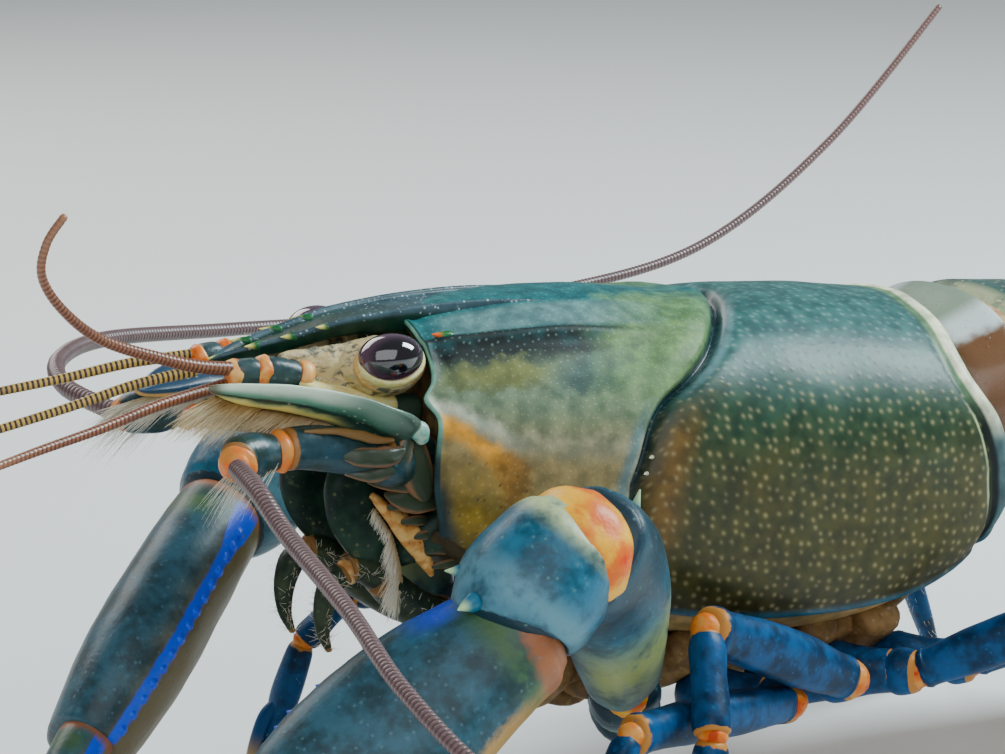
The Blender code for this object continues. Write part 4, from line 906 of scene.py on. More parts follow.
farClawMaterial = jointedColours("clawShellFar", {**clawPlan, "edgeTurn": clawsPlan["right"]["edgeTurn"]})
nearClawMaterial = jointedColours("clawShellNear", {**clawPlan, "heel": (0.18, 0.17)})
armMaterial = jointedColours("armShell", armPlan)
wristMaterial = jointedColours("wristShell", wristPlan)


def dent(along, turn, p):
    return rough(p, 1.8, 0.07) + rough(p, 0.5, 0.015)


def buildClaw(label, s):
    plan = clawsPlan[label]
    root, ischium, elbow, palm, bent = [
        Vector(plan[key]) for key in ("root", "ischium", "elbow", "palm", "bend")]
    claw, wide = Vector(plan["claw"]).normalized(), Vector(plan["wide"])
    wide = (wide - claw * claw.dot(wide)).normalized()
    name = "cheliped_" + label

    def onAxis(d):
        # the palm's middle line, which swings out toward the wrist
        return palm + claw * d + bent * max(0.0, 1 - d / 6.5) ** 2

    def onClaw(key):
        return [(*(onAxis(d) + wide * move), w, h) for d, w, h, move in clawForms[key]]

    base = Skin()
    segment(base, root, ischium, (1, 0, 0.3), clawForms["hip"], domes=(0.2, 0.3))
    segment(base, root, ischium, (1, 0, 0.3), clawForms["base"], domes=(0.4, 0.4))
    membrane(base, root.lerp(ischium, 0.43), ischium - root, 1.6, 0.6)
    makePiece(f"clawArmBase_{label}", base, armMaterial, [name + "_base"])

    merus = Skin()
    segment(merus, ischium, elbow, (0.75, -s * 0.2, 0.4), clawForms["merus"], count=40, relief=dent,
            domes=(0.3, 0.12))
    membrane(merus, ischium, bisector(root, ischium, elbow), 1.7, 0.9)
    thorn(merus, ischium.lerp(elbow, 0.93) + Vector((2.3, s * 0.1, 2.1)),
          (0.25, s * 0.1, 1), 1.5, 0.46, part=2.0)
    for i in range(6):
        at = ischium.lerp(elbow, 0.2 + 0.12 * i) + Vector((2.6, -s * 0.3, 1.9)) * (0.75 + 0.05 * i)
        thorn(merus, at, (0.5, 0, 0.8), 0.45, 0.2, part=2.0)
    makePiece(f"clawMerus_{label}", merus, armMaterial, [name + "_merus"])

    carpus = Skin()
    rows = []
    for (t, w), lean in zip(clawForms["carpus"], plan["leans"]):
        place = elbow.lerp(palm, t) + Vector((-1.5, 0, 0.5)) * lean + bent * 0.7 * max(0.0, t) ** 3
        rows.append((*place, w, w * 0.98))
    tube(carpus, rows, wide, count=44, square=2.2, relief=dent, domes=(0.3, 0.2))
    bend = bisector(ischium, elbow, palm)
    rows = [(*(elbow + Vector((-1.2, 0, -0.25)) + bend * t), r * 1.08, r) for t, r in clawForms["elbowSkin"]]
    tube(carpus, rows, wide, count=64, steps=7, part=1.0, bumps=(1.4, 0.17))
    membrane(carpus, palm + bent * 0.5, bisector(elbow, palm + bent, palm + claw * 3),
             plan["wristSkin"], 0.9, 30)
    thorn(carpus, elbow.lerp(palm, 0.62) + Vector((-1.9, -s * 1.9, 1.9)), (-0.5, -s * 0.6, 0.4), 1.3, 0.42,
          part=2.0)
    if s < 0:
        thorn(carpus, (-22.6, -20.9, 24.0), (-0.9, -0.3, -0.15), 1.0, 0.55, part=2.0)
        thorn(carpus, (-21.7, -18.2, 25.1), (-0.9, 0.2, 0.1), 0.9, 0.42, part=2.0)
    makePiece(f"clawCarpus_{label}", carpus, wristMaterial, [name + "_carpus"])

    hand = Skin()
    tube(hand, onClaw("palm"), wide, count=48, steps=7, square=2.3, relief=dent, domes=(0.3, 0.12), turned=-s)
    tube(hand, onClaw("fixed"), wide, count=28, steps=7, relief=dent, domes=(0.2, 0.8), turned=-s)
    # two rows of knobs along the blue edge, which is turned by edgeTurn
    low, high = math.sin(plan["edgeTurn"]) ** 0.87, math.cos(plan["edgeTurn"]) ** 0.87
    for i in range(15):
        d = 2.2 + 15.6 * i / 14
        w, h, move = readTable(clawForms["palm"], d)
        size = 0.9 + 0.25 * math.sin(i * 2.4)
        for row in (0, 1):
            at = onAxis(d + 0.5 * row) + wide * (move + w * high * (0.985 - 0.035 * row) - 0.12)
            at += claw.cross(wide) * (row * h * 0.3 - 0.1 - s * low * h)
            thorn(hand, at, wide * high - claw.cross(wide) * s * low + claw * 0.3,
                  0.45 * size * (1 - 0.35 * row), 0.46 * (1 - 0.25 * row), part=3.0)

    def teeth(skin, key, first, length, way, big, small, bigOnes):
        # a row of teeth along the inner side of a finger
        for i in range(16):
            d = first + length * i / 15
            w, h, move = readTable(clawForms[key], d)
            size = big if i in bigOnes else small - 0.006 * i
            thorn(skin, palm + claw * d + wide * (move + way * w - way * 0.08),
                  wide * way, size * 1.2, size, part=2.0)

    teeth(hand, "fixed", 20.0, 12.6, 1, 0.42, 0.26, (5,))
    makePiece(f"clawPalm_{label}", hand, nearClawMaterial if s < 0 else farClawMaterial,
              [name + "_palm"])

    finger = Skin()
    tube(finger, onClaw("moving"), wide, count=28, steps=7, relief=dent, domes=(0.35, 0.8), turned=-s)
    teeth(finger, "moving", 20.2, 12.3, -1, 0.4, 0.25, (3, 7))
    membrane(finger, palm + claw * 18.5 + wide * 2.0, claw, 1.5, 0.5)
    makePiece(f"clawFinger_{label}", finger, clawMaterial if s < 0 else farClawMaterial,
              [name + "_finger"])


for label, s in sides:
    buildClaw(label, s)
print("stage: claws")


headPlan = {
    "antennule": ((-16.0, 2.1, 30.7, 1.1, 0.9), (-19.0, 2.2, 30.9, 1.15, 0.95), (-21.6, 2.3, 31.6, 1.1, 0.9),
                  (-23.5, 2.4, 32.95, 1.1, 1.0)),
    "antennuleRings": ((-23.7, 2.8, 33.6), (-26.25, 2.65, 34.15), (-27.95, 2.4, 34.12)),
    "farBase": ((-16.2, 2.3, 33.2, 1.1, 1.6), (-20.0, 2.5, 33.3, 0.9, 1.6), (-23.0, 2.6, 33.9, 0.7, 0.9),
                (-24.4, 2.6, 34.3, 0.35, 0.3)),
    "cheek": ((-17.6, 1.7, 33.0, 0.9, 1.3), (-19.0, 2.1, 33.2, 1.2, 1.75), (-20.4, 2.45, 33.35, 1.1, 1.8),
              (-22.0, 2.55, 33.75, 0.85, 1.5), (-23.5, 2.5, 34.3, 0.6, 0.85),
              (-24.9, 2.4, 34.75, 0.25, 0.28)),
    "cheekEdge": ((-18.2, 3.4, 31.5, 0.9, 0.55), (-20.6, 3.7, 32.1, 1.2, 0.5), (-22.6, 3.5, 32.8, 0.9, 0.4),
                  (-24.2, 3.2, 33.5, 0.4, 0.25)),
    # how far each scale drops at its middle and at its tip
    "scaleDrop": {"left": (0.0, 0.0), "right": (-0.9, -2.0)},
    "antenna": (
        ((-16.0, 4.3, 28.2, 1.15, 1.1), (-17.8, 4.6, 28.3, 1.3, 1.2), (-19.4, 5.9, 28.6, 1.6, 1.5),
         (-20.3, 6.1, 28.95, 1.4, 1.3)),
        ((-20.2, 6.1, 29.0, 1.1, 1.1), (-21.8, 6.1, 29.4, 1.32, 1.28), (-24.4, 6.12, 30.05, 1.34, 1.28),
         (-26.4, 6.2, 30.2, 1.22, 1.18)),
        ((-27.4, 6.35, 30.2, 1.05, 1.0), (-28.6, 6.6, 30.2, 1.3, 1.25), (-29.7, 7.0, 30.2, 1.32, 1.25),
         (-30.2, 7.5, 30.12, 1.2, 1.1))),
    # small forms on the antenna's base: stations, side and finish
    "antennaDetail": (
        (((-19.3, 7.1, 29.5, 0.3, 0.3), (-20.4, 7.25, 29.25, 0.62, 0.45), (-22.2, 7.2, 29.45, 0.6, 0.45),
          (-23.6, 6.95, 29.75, 0.3, 0.3), (-24.0, 6.9, 29.8, 0.1, 0.1)),
         (0, 0.2, 1), {"count": 32, "square": 2.2, "part": 4.0, "bumps": (0.5, 0.09)}),
        (((-22.8, 6.7, 28.5, 0.2, 0.2), (-21.2, 7.0, 28.25, 0.5, 0.4), (-19.6, 7.0, 28.7, 0.55, 0.4),
          (-19.0, 6.9, 29.7, 0.5, 0.4), (-18.9, 6.7, 30.5, 0.2, 0.2)),
         (0, 0.2, 1), {"count": 32, "square": 2.2, "part": 4.0, "bumps": (0.5, 0.09)}),
        (((-19.1, 7.0, 31.5, 0.3, 0.3), (-18.95, 7.1, 31.1, 0.5, 0.45), (-18.6, 7.1, 30.7, 0.3, 0.3)),
         (1, 0, 0), {"part": 1.0}),
        (((-18.6, 7.1, 30.9, 0.4, 0.35), (-18.2, 7.15, 30.5, 0.62, 0.5), (-17.9, 7.0, 29.9, 0.4, 0.35)),
         (1, 0, 0), {"part": 5.0}),
        (((-25.6, 6.9, 31.3, 0.08, 0.08), (-23.8, 7.15, 31.15, 0.2, 0.2), (-22.4, 7.25, 30.8, 0.3, 0.25),
          (-21.0, 7.3, 30.35, 0.26, 0.25), (-20.0, 7.25, 30.2, 0.12, 0.12)),
         (0, 0, 1), {"count": 24, "part": 3.0, "bumps": (0.6, 0.06)})),
    "maxilliped": ((-11.3, 2.5, 16.2, 1.1, 1.0), (-13.4, 2.7, 16.8, 1.5, 1.2), (-16.4, 2.9, 18.6, 1.6, 1.2),
                   (-18.6, 2.9, 20.6, 1.3, 1.0), (-20.2, 2.8, 21.6, 1.0, 0.85),
                   (-21.6, 2.7, 20.9, 0.95, 0.75),
                   (-22.3, 2.6, 19.2, 0.75, 0.6), (-22.3, 2.5, 17.6, 0.5, 0.4), (-21.8, 2.4, 16.4, 0.2, 0.2)),
    "antennuleShell": {
        "body": (0.030, 0.065, 0.070), "dark": (0.006, 0.022, 0.026), "light": (0.14, 0.20, 0.18),
        "rim": (0.30, 0.13, 0.03), "tip": (0.05, 0.10, 0.065), "ends": (0.0, 0.97), "roughness": 0.3,
        "joint": (0.78, 0.15, 0.006), "jointPale": (0.84, 0.42, 0.11), "jointDeep": (0.50, 0.045, 0.002)},
    "antennaShell": {
        "tip": (0.20, 0.105, 0.028), "body": (0.016, 0.060, 0.085), "jointPale": (0.66, 0.24, 0.04),
        "light": (0.10, 0.18, 0.17), "dark": (0.006, 0.026, 0.020), "ends": (0.03, 0.96)},
}
antennulePeduncle = jointedColours("antennuleShell", headPlan["antennuleShell"])
antennaPeduncle = jointedColours("antennaShell", {**headPlan["antennuleShell"], **headPlan["antennaShell"]})


def scaleColours():
    # the mark part is 1 on the far scale, which shows its blue side
    finish = Finish("antennalScale", {"Coat Weight": 0.25, "Coat Roughness": 0.2})
    wide, along, far = finish.fields("wide along part")
    mottle, streak = finish.noise(1.4, 4), finish.noise(1.0, 3, finish.stretched(0.35, 1.6, 1.6))
    across = wide + (streak - 0.5) * 0.35
    farBlue = finish.mix(across.ease(0.7, 0.95), (0.012, 0.05, 0.10), (0.55, 0.30, 0.07))
    colour = finish.layers(
        (0.66, 0.82, 0.64),
        (across.ease(-0.85, -0.2), (0.12, 0.34, 0.23)),
        (along.ease(0.55, 0.25) * 0.85, (0.03, 0.11, 0.075)),
        (across.hill(0.14, 0.3), (0.02, 0.05, 0.035)),
        (across.hill(0.46, 0.3) * along.ease(0.22, 0.45), (0.84, 0.68, 0.16)),
        (across.ease(0.66, 0.85), (0.24, 0.10, 0.02)),
        (along.ease(0.9, 0.99), (0.10, 0.10, 0.06)),
        (along.ease(0.2, 0.06) * (mottle * 0.6 + 0.4), (0.02, 0.06, 0.045)),
        (far, farBlue),
        (finish.cells(1.9).ease(0.2, 0.1) * 0.5, (0.6, 0.6, 0.45)))
    return finish.wear(colour, mottle * 0.2 + 0.25, streak * 0.7 + mottle * 0.4, 0.06, 0.6)


def crease(along, turn, p):
    # a raised keel between two shallow troughs, on both faces of the scale
    across = math.cos(turn)
    keel = 0.2 * hill(across, 0.5, 0.2) - 0.1 * hill(across, 0.12, 0.24) + rough(p, 1.0, 0.05)
    return keel * ease(along, 1, 0.85)


def pitted(along, turn, p):
    return rough(p, 0.8, 0.14) + rough((p.x * 0.5 + p.z, p.y, p.z - p.x), 0.3, 0.07)


scaleMaterial = scaleColours()
for label, s in sides:
    # antennule: a flecked base beside the eye, then three short pieces with orange rings between them
    root = Skin()
    tube(root, mirrored(headPlan["antennule"], s), (0, 1, 0), count=24, square=2.4, part=3.0)
    rings = [Vector(p) for p in mirrored(headPlan["antennuleRings"], s)]
    ringLook = {"part": 1.0, "count": 28}
    tube(root, [(-23.4, s * 2.75, 33.45, 0.9, 0.9), (*rings[0], 1.04, 1.02),
                (-24.05, s * 2.8, 33.7, 0.9, 0.9)],
         (0.4, 1, 0.2), domes=(0.2, 0.1), bumps=(0.6, 0.09), **ringLook)
    for a, b, w in ((rings[0], rings[1], 0.95), (rings[1], rings[2], 0.85)):
        tube(root, [(*a.lerp(b, 0.12), w * 0.9, w * 0.88), (*a.lerp(b, 0.3), w, w),
                    (*a.lerp(b, 0.75), w * 1.02, w),
                    (*a.lerp(b, 0.93), w * 0.93, w * 0.92)],
             (0, 1, 0), count=24, square=2.3, domes=(0.2, 0.15), bumps=(0.9, 0.05))
        heading = (b - a).normalized()
        tube(root, [(*(b - heading * 0.5), w * 0.9, w * 0.9), (*(b - heading * 0.1), w * 1.04, w * 1.02),
                    (*(b + heading * 0.25), w * 0.9, w * 0.9)],
             (0.4, 1, 0.2), domes=(0.2, 0.3), bumps=(0.5, 0.12), **ringLook)
    if s > 0:
        tube(root, headPlan["farBase"], (0, 1, 0), part=3.0, count=24)
    makePiece("antennuleStalk_" + label, root, antennulePeduncle, ["antennule_" + label])
    cheek = Skin()
    tube(cheek, mirrored(headPlan["cheek"], s), (0, 1, 0), count=56, steps=12, square=2.2, relief=pitted)
    tube(cheek, mirrored(headPlan["cheekEdge"], s), (0, 1, 0.3), count=24, part=1.0, bumps=(0.7, 0.1))
    makePiece("antennuleCheek_" + label, cheek, creamMaterial, ["antennule_" + label])

    # antennal scale: a pointed blade beside the antenna
    d, t = headPlan["scaleDrop"][label]
    part = 0.0 if s < 0 else 1.0
    rows = mirrored(((-19.0, 6.5, 30.3, 0.8, 0.6), (-19.4, 6.8, 30.6, 1.6, 0.6),
                     (-20.6, 6.9, 31.1 + 0.2 * d, 1.9, 0.5),
                     (-22.4, 6.6, 32.0 + 0.4 * d, 1.75, 0.4), (-25.5, 6.1, 33.0 + 0.8 * d, 1.45, 0.34),
                     (-28.4, 5.6, 33.55 + 0.7 * t, 1.15, 0.3), (-30.2, 5.2, 33.95 + t, 0.5, 0.26),
                     (-30.8, 5.15, 34.1 + t, 0.14, 0.14)), s)
    blade = Skin()
    tube(blade, rows, (0, -s * 0.75, -0.66), count=48, steps=7, part=part, relief=crease)
    thorn(blade, (-30.5, s * 5.17, 34.03 + t), (-1, 0, 0.25), 0.55, 0.15, part=part)
    makePiece("antennalScale_" + label, blade, scaleMaterial, ["antennal_scale_" + label])

    # antenna: three stout pieces with small plates on the first, then the long whip
    stem = Skin()
    for rows in headPlan["antenna"]:
        tube(stem, mirrored(rows, s), (0, 0, 1), count=28, square=2.3, domes=(0.25, 0.25), bumps=(1.1, 0.07))
    for rows, side, more in headPlan["antennaDetail"]:
        tube(stem, mirrored(rows, s), side, **more)
    membrane(stem, (-26.95, s * 6.3, 30.2), (-1, 0, 0), 1.26, 0.55, 24)
    membrane(stem, (-30.3, s * 7.7, 30.08), (-1, s * 1.4, 0), 1.12, 0.45, 24)
    makePiece("antennaStalk_" + label, stem, antennaPeduncle, ["antenna_" + label])
print("stage: head appendages")

mouthPlan = {
    # the mouth pieces are toned dark, partly their own colour and partly painted shade under the head
    "shell": {**legPlan, "body": (0.014, 0.040, 0.024), "dark": (0.004, 0.014, 0.010),
              "light": (0.18, 0.16, 0.06),
              "rim": (0.12, 0.075, 0.025), "tip": (0.70, 0.60, 0.36), "ends": (0.05, 0.94), "roughness": 0.34,
              "joint": (0.46, 0.20, 0.045), "jointPale": (0.64, 0.38, 0.12),
              "jointDeep": (0.14, 0.045, 0.012),
              "swirl": 1.5},
    "palp": {"body": (0.035, 0.050, 0.024), "dark": (0.008, 0.018, 0.012), "rim": (0.20, 0.10, 0.03),
             "joint": (0.38, 0.16, 0.04), "jointPale": (0.50, 0.30, 0.11), "light": (0.10, 0.11, 0.05)},
    "middle": (
        (((-15.2, 0, 25.3, 4.4, 1.4), (-17.0, 0, 25.5, 4.2, 1.4), (-18.2, 0, 25.9, 3.3, 1.1),
          (-18.9, 0, 26.3, 2.2, 0.6)), (0, 1, 0), {"count": 40, "square": 2.6, "bumps": (1.0, 0.2)}),
        (((-15.4, 0, 27.9, 3.2, 1.7), (-17.4, 0, 28.1, 2.9, 1.5), (-19.2, 0, 28.4, 1.6, 0.9),
          (-20.2, 0, 28.6, 0.5, 0.4)), (0, 1, 0), {"count": 36, "bumps": (0.9, 0.15)})),
    "paired": (
        (((-16.2, 2.0, 25.8, 0.9, 0.9), (-17.4, 2.1, 24.8, 1.75, 1.25), (-18.1, 1.9, 23.6, 1.4, 0.9),
          (-18.3, 1.5, 22.9, 0.5, 0.4)), (0, 1, 0), {"count": 28, "bumps": (0.8, 0.12)}),
        (((-20.3, 2.6, 28.2, 1.2, 0.9), (-20.3, 2.9, 26.6, 2.0, 0.9), (-19.7, 3.0, 24.8, 2.3, 0.85),
          (-18.8, 3.0, 23.0, 1.9, 0.8), (-18.0, 3.0, 21.6, 1.1, 0.6)),
         (0.9, 0, -0.3), {"count": 44, "square": 2.2, "bumps": (1.6, 0.14)}),
        (((-19.8, 4.2, 26.2, 0.3, 0.25), (-19.0, 4.5, 25.3, 0.6, 0.4), (-17.9, 4.6, 24.1, 0.75, 0.4),
          (-17.0, 4.6, 22.9, 0.7, 0.4), (-16.3, 4.4, 21.7, 0.45, 0.35), (-15.8, 4.2, 20.8, 0.2, 0.2)),
         (0.75, 0, -0.66), {"count": 32, "part": 1.0, "bumps": (0.8, 0.1)}),
        *((((x - 0.3, 4.7, z + 0.2, 0.12, 0.12), (x + 0.4, 5.0, z + 0.35, 0.26, 0.2),
            (x + 1.2, 5.0, z + 0.3, 0.34, 0.22), (x + 2.0, 4.6, z + 0.1, 0.2, 0.18)),
           (0, 0, 1), {"count": 16, "part": 4.0})
          for x, z in [(-19.1 + 0.85 * n, 25.2 - 1.0 * n) for n in range(5)]),
        (((-16.0, 5.4, 25.9, 0.7, 0.5), (-17.6, 5.5, 25.9, 0.85, 0.55), (-18.8, 5.3, 26.2, 0.55, 0.4),
          (-19.4, 5.1, 26.4, 0.15, 0.15)), (0, 0, 1), {"count": 28, "part": 4.0, "bumps": (0.6, 0.1)}),
        (((-15.8, 5.6, 27.4, 0.6, 0.5), (-17.6, 5.8, 27.2, 0.7, 0.5), (-19.4, 5.6, 27.2, 0.5, 0.4),
          (-20.6, 5.3, 27.4, 0.15, 0.15)), (0, 0, 1), {"count": 28, "part": 4.0, "bumps": (0.6, 0.1)}),
        (((-18.7, 6.0, 30.6, 0.7, 0.5), (-18.4, 6.4, 29.2, 1.05, 0.6), (-17.7, 6.3, 27.3, 1.0, 0.6),
          (-17.2, 6.0, 26.2, 0.5, 0.4)), (1, 0, 0), {"count": 28, "part": 4.0, "bumps": (0.8, 0.12)}),
        (((-14.2, 5.2, 24.6, 1.0, 0.7), (-16.0, 4.6, 23.4, 1.3, 0.8), (-17.4, 3.6, 22.2, 0.8, 0.6),
          (-18.0, 3.1, 21.4, 0.3, 0.3)), (0, 0, 1), {"bumps": (0.8, 0.12)})),
    "palpForms": (
        (headPlan["maxilliped"][:4], {"count": 28, "square": 2.4, "domes": (0.5, 0.3), "bumps": (1.0, 0.08)}),
        (((-18.8, 2.9, 20.75, 1.1, 0.9), (-19.6, 2.85, 21.35, 1.05, 0.9), (-20.5, 2.8, 21.5, 0.98, 0.82)),
         {"count": 24, "domes": (0.3, 0.3)}),
        (((-21.0, 2.75, 21.2, 0.85, 0.72), (-21.7, 2.7, 20.8, 0.95, 0.76), (-22.25, 2.62, 19.4, 0.78, 0.62),
          (-22.3, 2.5, 17.8, 0.5, 0.42), (-21.85, 2.4, 16.5, 0.2, 0.2)), {"count": 24})),
}
mouth = Skin()
for rows, side, more in mouthPlan["middle"]:
    tube(mouth, rows, side, **more)
for label, s in sides:
    for rows, side, more in mouthPlan["paired"]:
        tube(mouth, mirrored(rows, s), side, **more)
makePiece("mouthPlates", mouth, jointedColours("mouthShell", mouthPlan["shell"]), ["mouthparts"])
palpMaterial = jointedColours("palpShell", {**mouthPlan["shell"], **mouthPlan["palp"]})
for label, s in sides:
    palp = Skin()
    for n, (rows, more) in enumerate(mouthPlan["palpForms"]):
        if n == 2:
            membrane(palp, (-18.7, s * 2.9, 20.7), (-0.8, 0, 0.6), 0.95, 0.4)
            membrane(palp, (-20.8, s * 2.77, 21.3), (-0.9, 0, -0.4), 0.8, 0.4)
        tube(palp, mirrored(rows, s), (0, 1, 0), **more)
    makePiece("maxillipedShell_" + label, palp, palpMaterial, ["maxilliped_" + label])

# plates between the leg roots: x of each and how far it reaches to the side, then the mass above them
bellyPlan = {
    "shell": {"body": (0.30, 0.165, 0.06), "dark": (0.12, 0.065, 0.022), "light": (0.42, 0.32, 0.15),
              "ends": (0.0, 1.0), "roughness": 0.4},
    "plates": ((-9.5, 1.9), (-4.5, 2.3), (0.2, 2.6), (5.0, 2.8), (9.9, 2.8), (14.6, 2.9)),
    "mass": ((-12.0, 0, 14.6, 4.2, 1.9), (-6.0, 0, 13.7, 5.4, 1.7), (2.0, 0, 13.4, 6.4, 1.7),
             (10.0, 0, 13.4, 6.6, 1.7), (16.5, 0, 14.4, 6.0, 1.9)),
    "rear": ((16.0, 0, 14.0, 5.6, 1.8), (18.6, 0, 16.5, 6.4, 2.0), (19.6, 0, 19.5, 6.6, 2.0)),
}
belly = Skin()
for x, reach in bellyPlan["plates"]:
    tube(belly, [(x - 2.0, 0, 11.2, reach * 0.8, 0.7), (x, 0, 10.9, reach, 0.95),
                 (x + 2.0, 0, 11.3, reach * 0.8, 0.7)], (0, 1, 0), count=32, square=2.4, bumps=(1.2, 0.12))
    for s in (-1, 1):
        tube(belly, [(x + 0.4, s * 1.2, 11.9, 1.5, 1.1), (x + 0.5, s * 4.0, 12.6, 1.75, 1.4),
                     (x + 0.6, s * 7.0, 14.6, 1.5, 1.3)], (1, 0, 0), bumps=(1.2, 0.15))
tube(belly, bellyPlan["mass"], (0, 1, 0), count=40, square=2.4, bumps=(2.0, 0.25))
tube(belly, bellyPlan["rear"], (0, 1, 0), count=40, bumps=(1.5, 0.2))
makePiece("bellyPlates", belly, jointedColours("bellyShell", {**mouthPlan["shell"], **bellyPlan["shell"]}),
          ["thorax_underside"])
print("stage: mouth and belly")


# thickness at the root and at the tip, then the course
whipPlan = {
    "antennule_whip_outer_left": (0.44, 0.24, (
        (-28.3, -2.6, 34.5), (-30.6, -3.2, 35.0), (-33.3, -4.0, 35.9), (-37.6, -5.5, 37.7),
        (-40.6, -7.0, 40.0), (-42.2, -8.0, 42.2), (-42.3, -9.0, 44.2), (-41.7, -10.0, 45.75))),
    "antennule_whip_inner_left": (0.40, 0.25, (
        (-28.3, -2.2, 33.5), (-33.4, -4.0, 33.2), (-37.8, -5.5, 32.6), (-42.4, -7.2, 32.2),
        (-46.6, -8.6, 31.7))),
    "antennule_whip_outer_right": (0.36, 0.25, (
        (-28.3, 2.5, 34.4), (-32.0, 3.0, 34.2), (-36.0, 3.6, 33.6), (-40.0, 4.2, 33.1), (-44.4, 4.8, 32.6))),
    "antennule_whip_inner_right": (0.36, 0.25, (
        (-28.3, 2.0, 33.5), (-32.0, 2.4, 33.0), (-36.0, 2.9, 32.0), (-40.4, 3.2, 31.1), (-44.8, 3.6, 30.2))),
    "antenna_whip_left": (0.62, 0.28, (
        (-30.6, -8.3, 30.0), (-31.1, -12.0, 29.4), (-31.3, -16.0, 27.8), (-32.3, -25.0, 25.9),
        (-33.2, -33.0, 23.6), (-31.8, -40.5, 20.5), (-26.0, -46.0, 16.8), (-17.0, -49.0, 13.8),
        (-6.0, -50.0, 12.2), (6.0, -49.0, 12.4))),
    "antenna_whip_right": (0.62, 0.28, (
        (-30.6, 8.3, 30.0), (-31.8, 13.0, 30.8), (-30.0, 18.0, 31.4), (-24.0, 24.0, 31.0),
        (-12.0, 30.5, 29.2), (2.0, 35.0, 27.8), (18.0, 38.2, 27.6), (32.0, 40.2, 29.4),
        (45.0, 42.6, 35.8), (57.0, 45.0, 45.2))),
    "ringLength": 0.32,
    # first ring colour, second ring colour, tip
    "redRingedFeeler": ((0.26, 0.095, 0.040), (0.10, 0.028, 0.016), (0.34, 0.16, 0.08)),
    "goldRingedFeeler": ((0.55, 0.34, 0.06), (0.035, 0.016, 0.012), (0.50, 0.30, 0.08)),
    "purpleFeeler": ((0.165, 0.095, 0.095), (0.085, 0.048, 0.050), (0.19, 0.09, 0.07)),
}


def whipColours(name):
    finish = Finish(name, {"Coat Weight": 0.2, "Coat Roughness": 0.25})
    first, second, tipTone = whipPlan[name]
    run, along = finish.fields("run along")
    bands = (run / whipPlan["ringLength"] * 2 * math.pi).maths("COSINE") * 0.5 + 0.5
    cloud = finish.noise(0.5, 3)
    colour = finish.layers(
        second,
        (bands.ease(0.25, 0.7), first),
        (cloud.ease(0.5, 0.75) * 0.6, second),
        (along.ease(0.7, 1.0) * 0.6, tipTone))
    return finish.wear(colour, cloud * 0.2 + 0.25)


def whip(name, nodes, thickAt, thinAt, path, material):
    # a tapering rod of short rings, each a little wider in its middle
    rows = smoothRows(path, 40)
    runs = [0.0]
    for a, b in zip(rows, rows[1:]):
        runs.append(runs[-1] + math.dist(a, b))
    total, step = runs[-1], whipPlan["ringLength"] / 4
    table = [(run, *row) for run, row in zip(runs, rows)]
    count = int(total / step)
    stations = []
    for i in range(count + 1):
        run = total * i / count
        r = thickAt + (thinAt - thickAt) * (run / total) ** 0.8
        r *= 0.955 + 0.045 * math.cos(2 * math.pi * run / whipPlan["ringLength"])
        stations.append((*readTable(table, run), r, r))
    skin = Skin()
    tube(skin, stations, (0.2, 0.1, 1), count=14, steps=1, domes=(0.4, 0.8))
    makePiece(name, skin, material, nodes)


whipNames = ("redRingedFeeler", "goldRingedFeeler", "purpleFeeler")
redWhip, goldWhip, darkWhip = [whipColours(name) for name in whipNames]
for label, s in sides:
    for kind in ("outer", "inner"):
        key = f"antennule_whip_{kind}_{label}"
        whip(f"antennuleFeeler_{kind}_{label}", [key], *whipPlan[key], redWhip if s < 0 else goldWhip)
    key = "antenna_whip_" + label
    whip("antennaFeeler_" + label, [f"{key}_{part}" for part in ("base", "middle", "end")],
         *whipPlan[key], darkWhip)
print("stage: feelers")


abdomenPlan = {
    # x, z, tilt in degrees, rise, half width and drop of the side flaps where the rings meet
    "joints": (
        (20.0, 27.0, 3, 4.6, 8.4, 4.4), (24.8, 27.3, -2, 6.6, 9.7, 6.6), (32.0, 26.4, -15, 6.8, 10.0, 8.6),
        (38.8, 23.7, -28, 6.6, 9.9, 8.4), (44.8, 19.6, -38, 6.2, 9.4, 7.8), (50.0, 14.8, -44, 5.5, 8.6, 7.0),
        (55.8, 9.4, -38, 4.1, 7.2, 5.0)),
    # share of the ring, share of the side flaps' drop, shrink
    "rows": (
        (0.10, 0.52, 0.9), (0.15, 0.60, 0.62), (0.20, 0.68, 0.42), (0.26, 0.78, 0.30), (0.31, 0.86, 0.06),
        (0.36, 0.92, 0.0), (0.46, 0.97, 0.0), (0.56, 0.99, 0.0), (0.66, 1.0, 0.0), (0.76, 0.94, 0.0),
        (0.86, 0.85, 0.0), (0.94, 0.74, 0.02), (0.985, 0.66, 0.1), (1.0, 0.64, 0.22)),
    # share of the ring and shrink of the soft skin in front of it
    "softRows": ((-0.02, 0.75), (0.05, 0.62), (0.12, 0.6), (0.2, 0.8)),
    "thickness": 0.9, "across": 61, "flapSteps": 10, "softCount": 64,
    # to the side and length of the two paddles of a swimmeret, as shares
    "paddles": ((0.5, 0.42), (-0.45, 0.36)),
}


def abdomenFrame(number, t):
    # place, tilt, rise, half width and drop at share t of ring `number`
    a, b = abdomenPlan["joints"][number - 1:number + 1]
    x, z, tilt, rise, halfWidth, drop = [p + (q - p) * t for p, q in zip(a, b)]
    return Vector((x, 0, z)), Matrix.Rotation(-math.radians(tilt), 3, "Y"), rise, halfWidth, drop


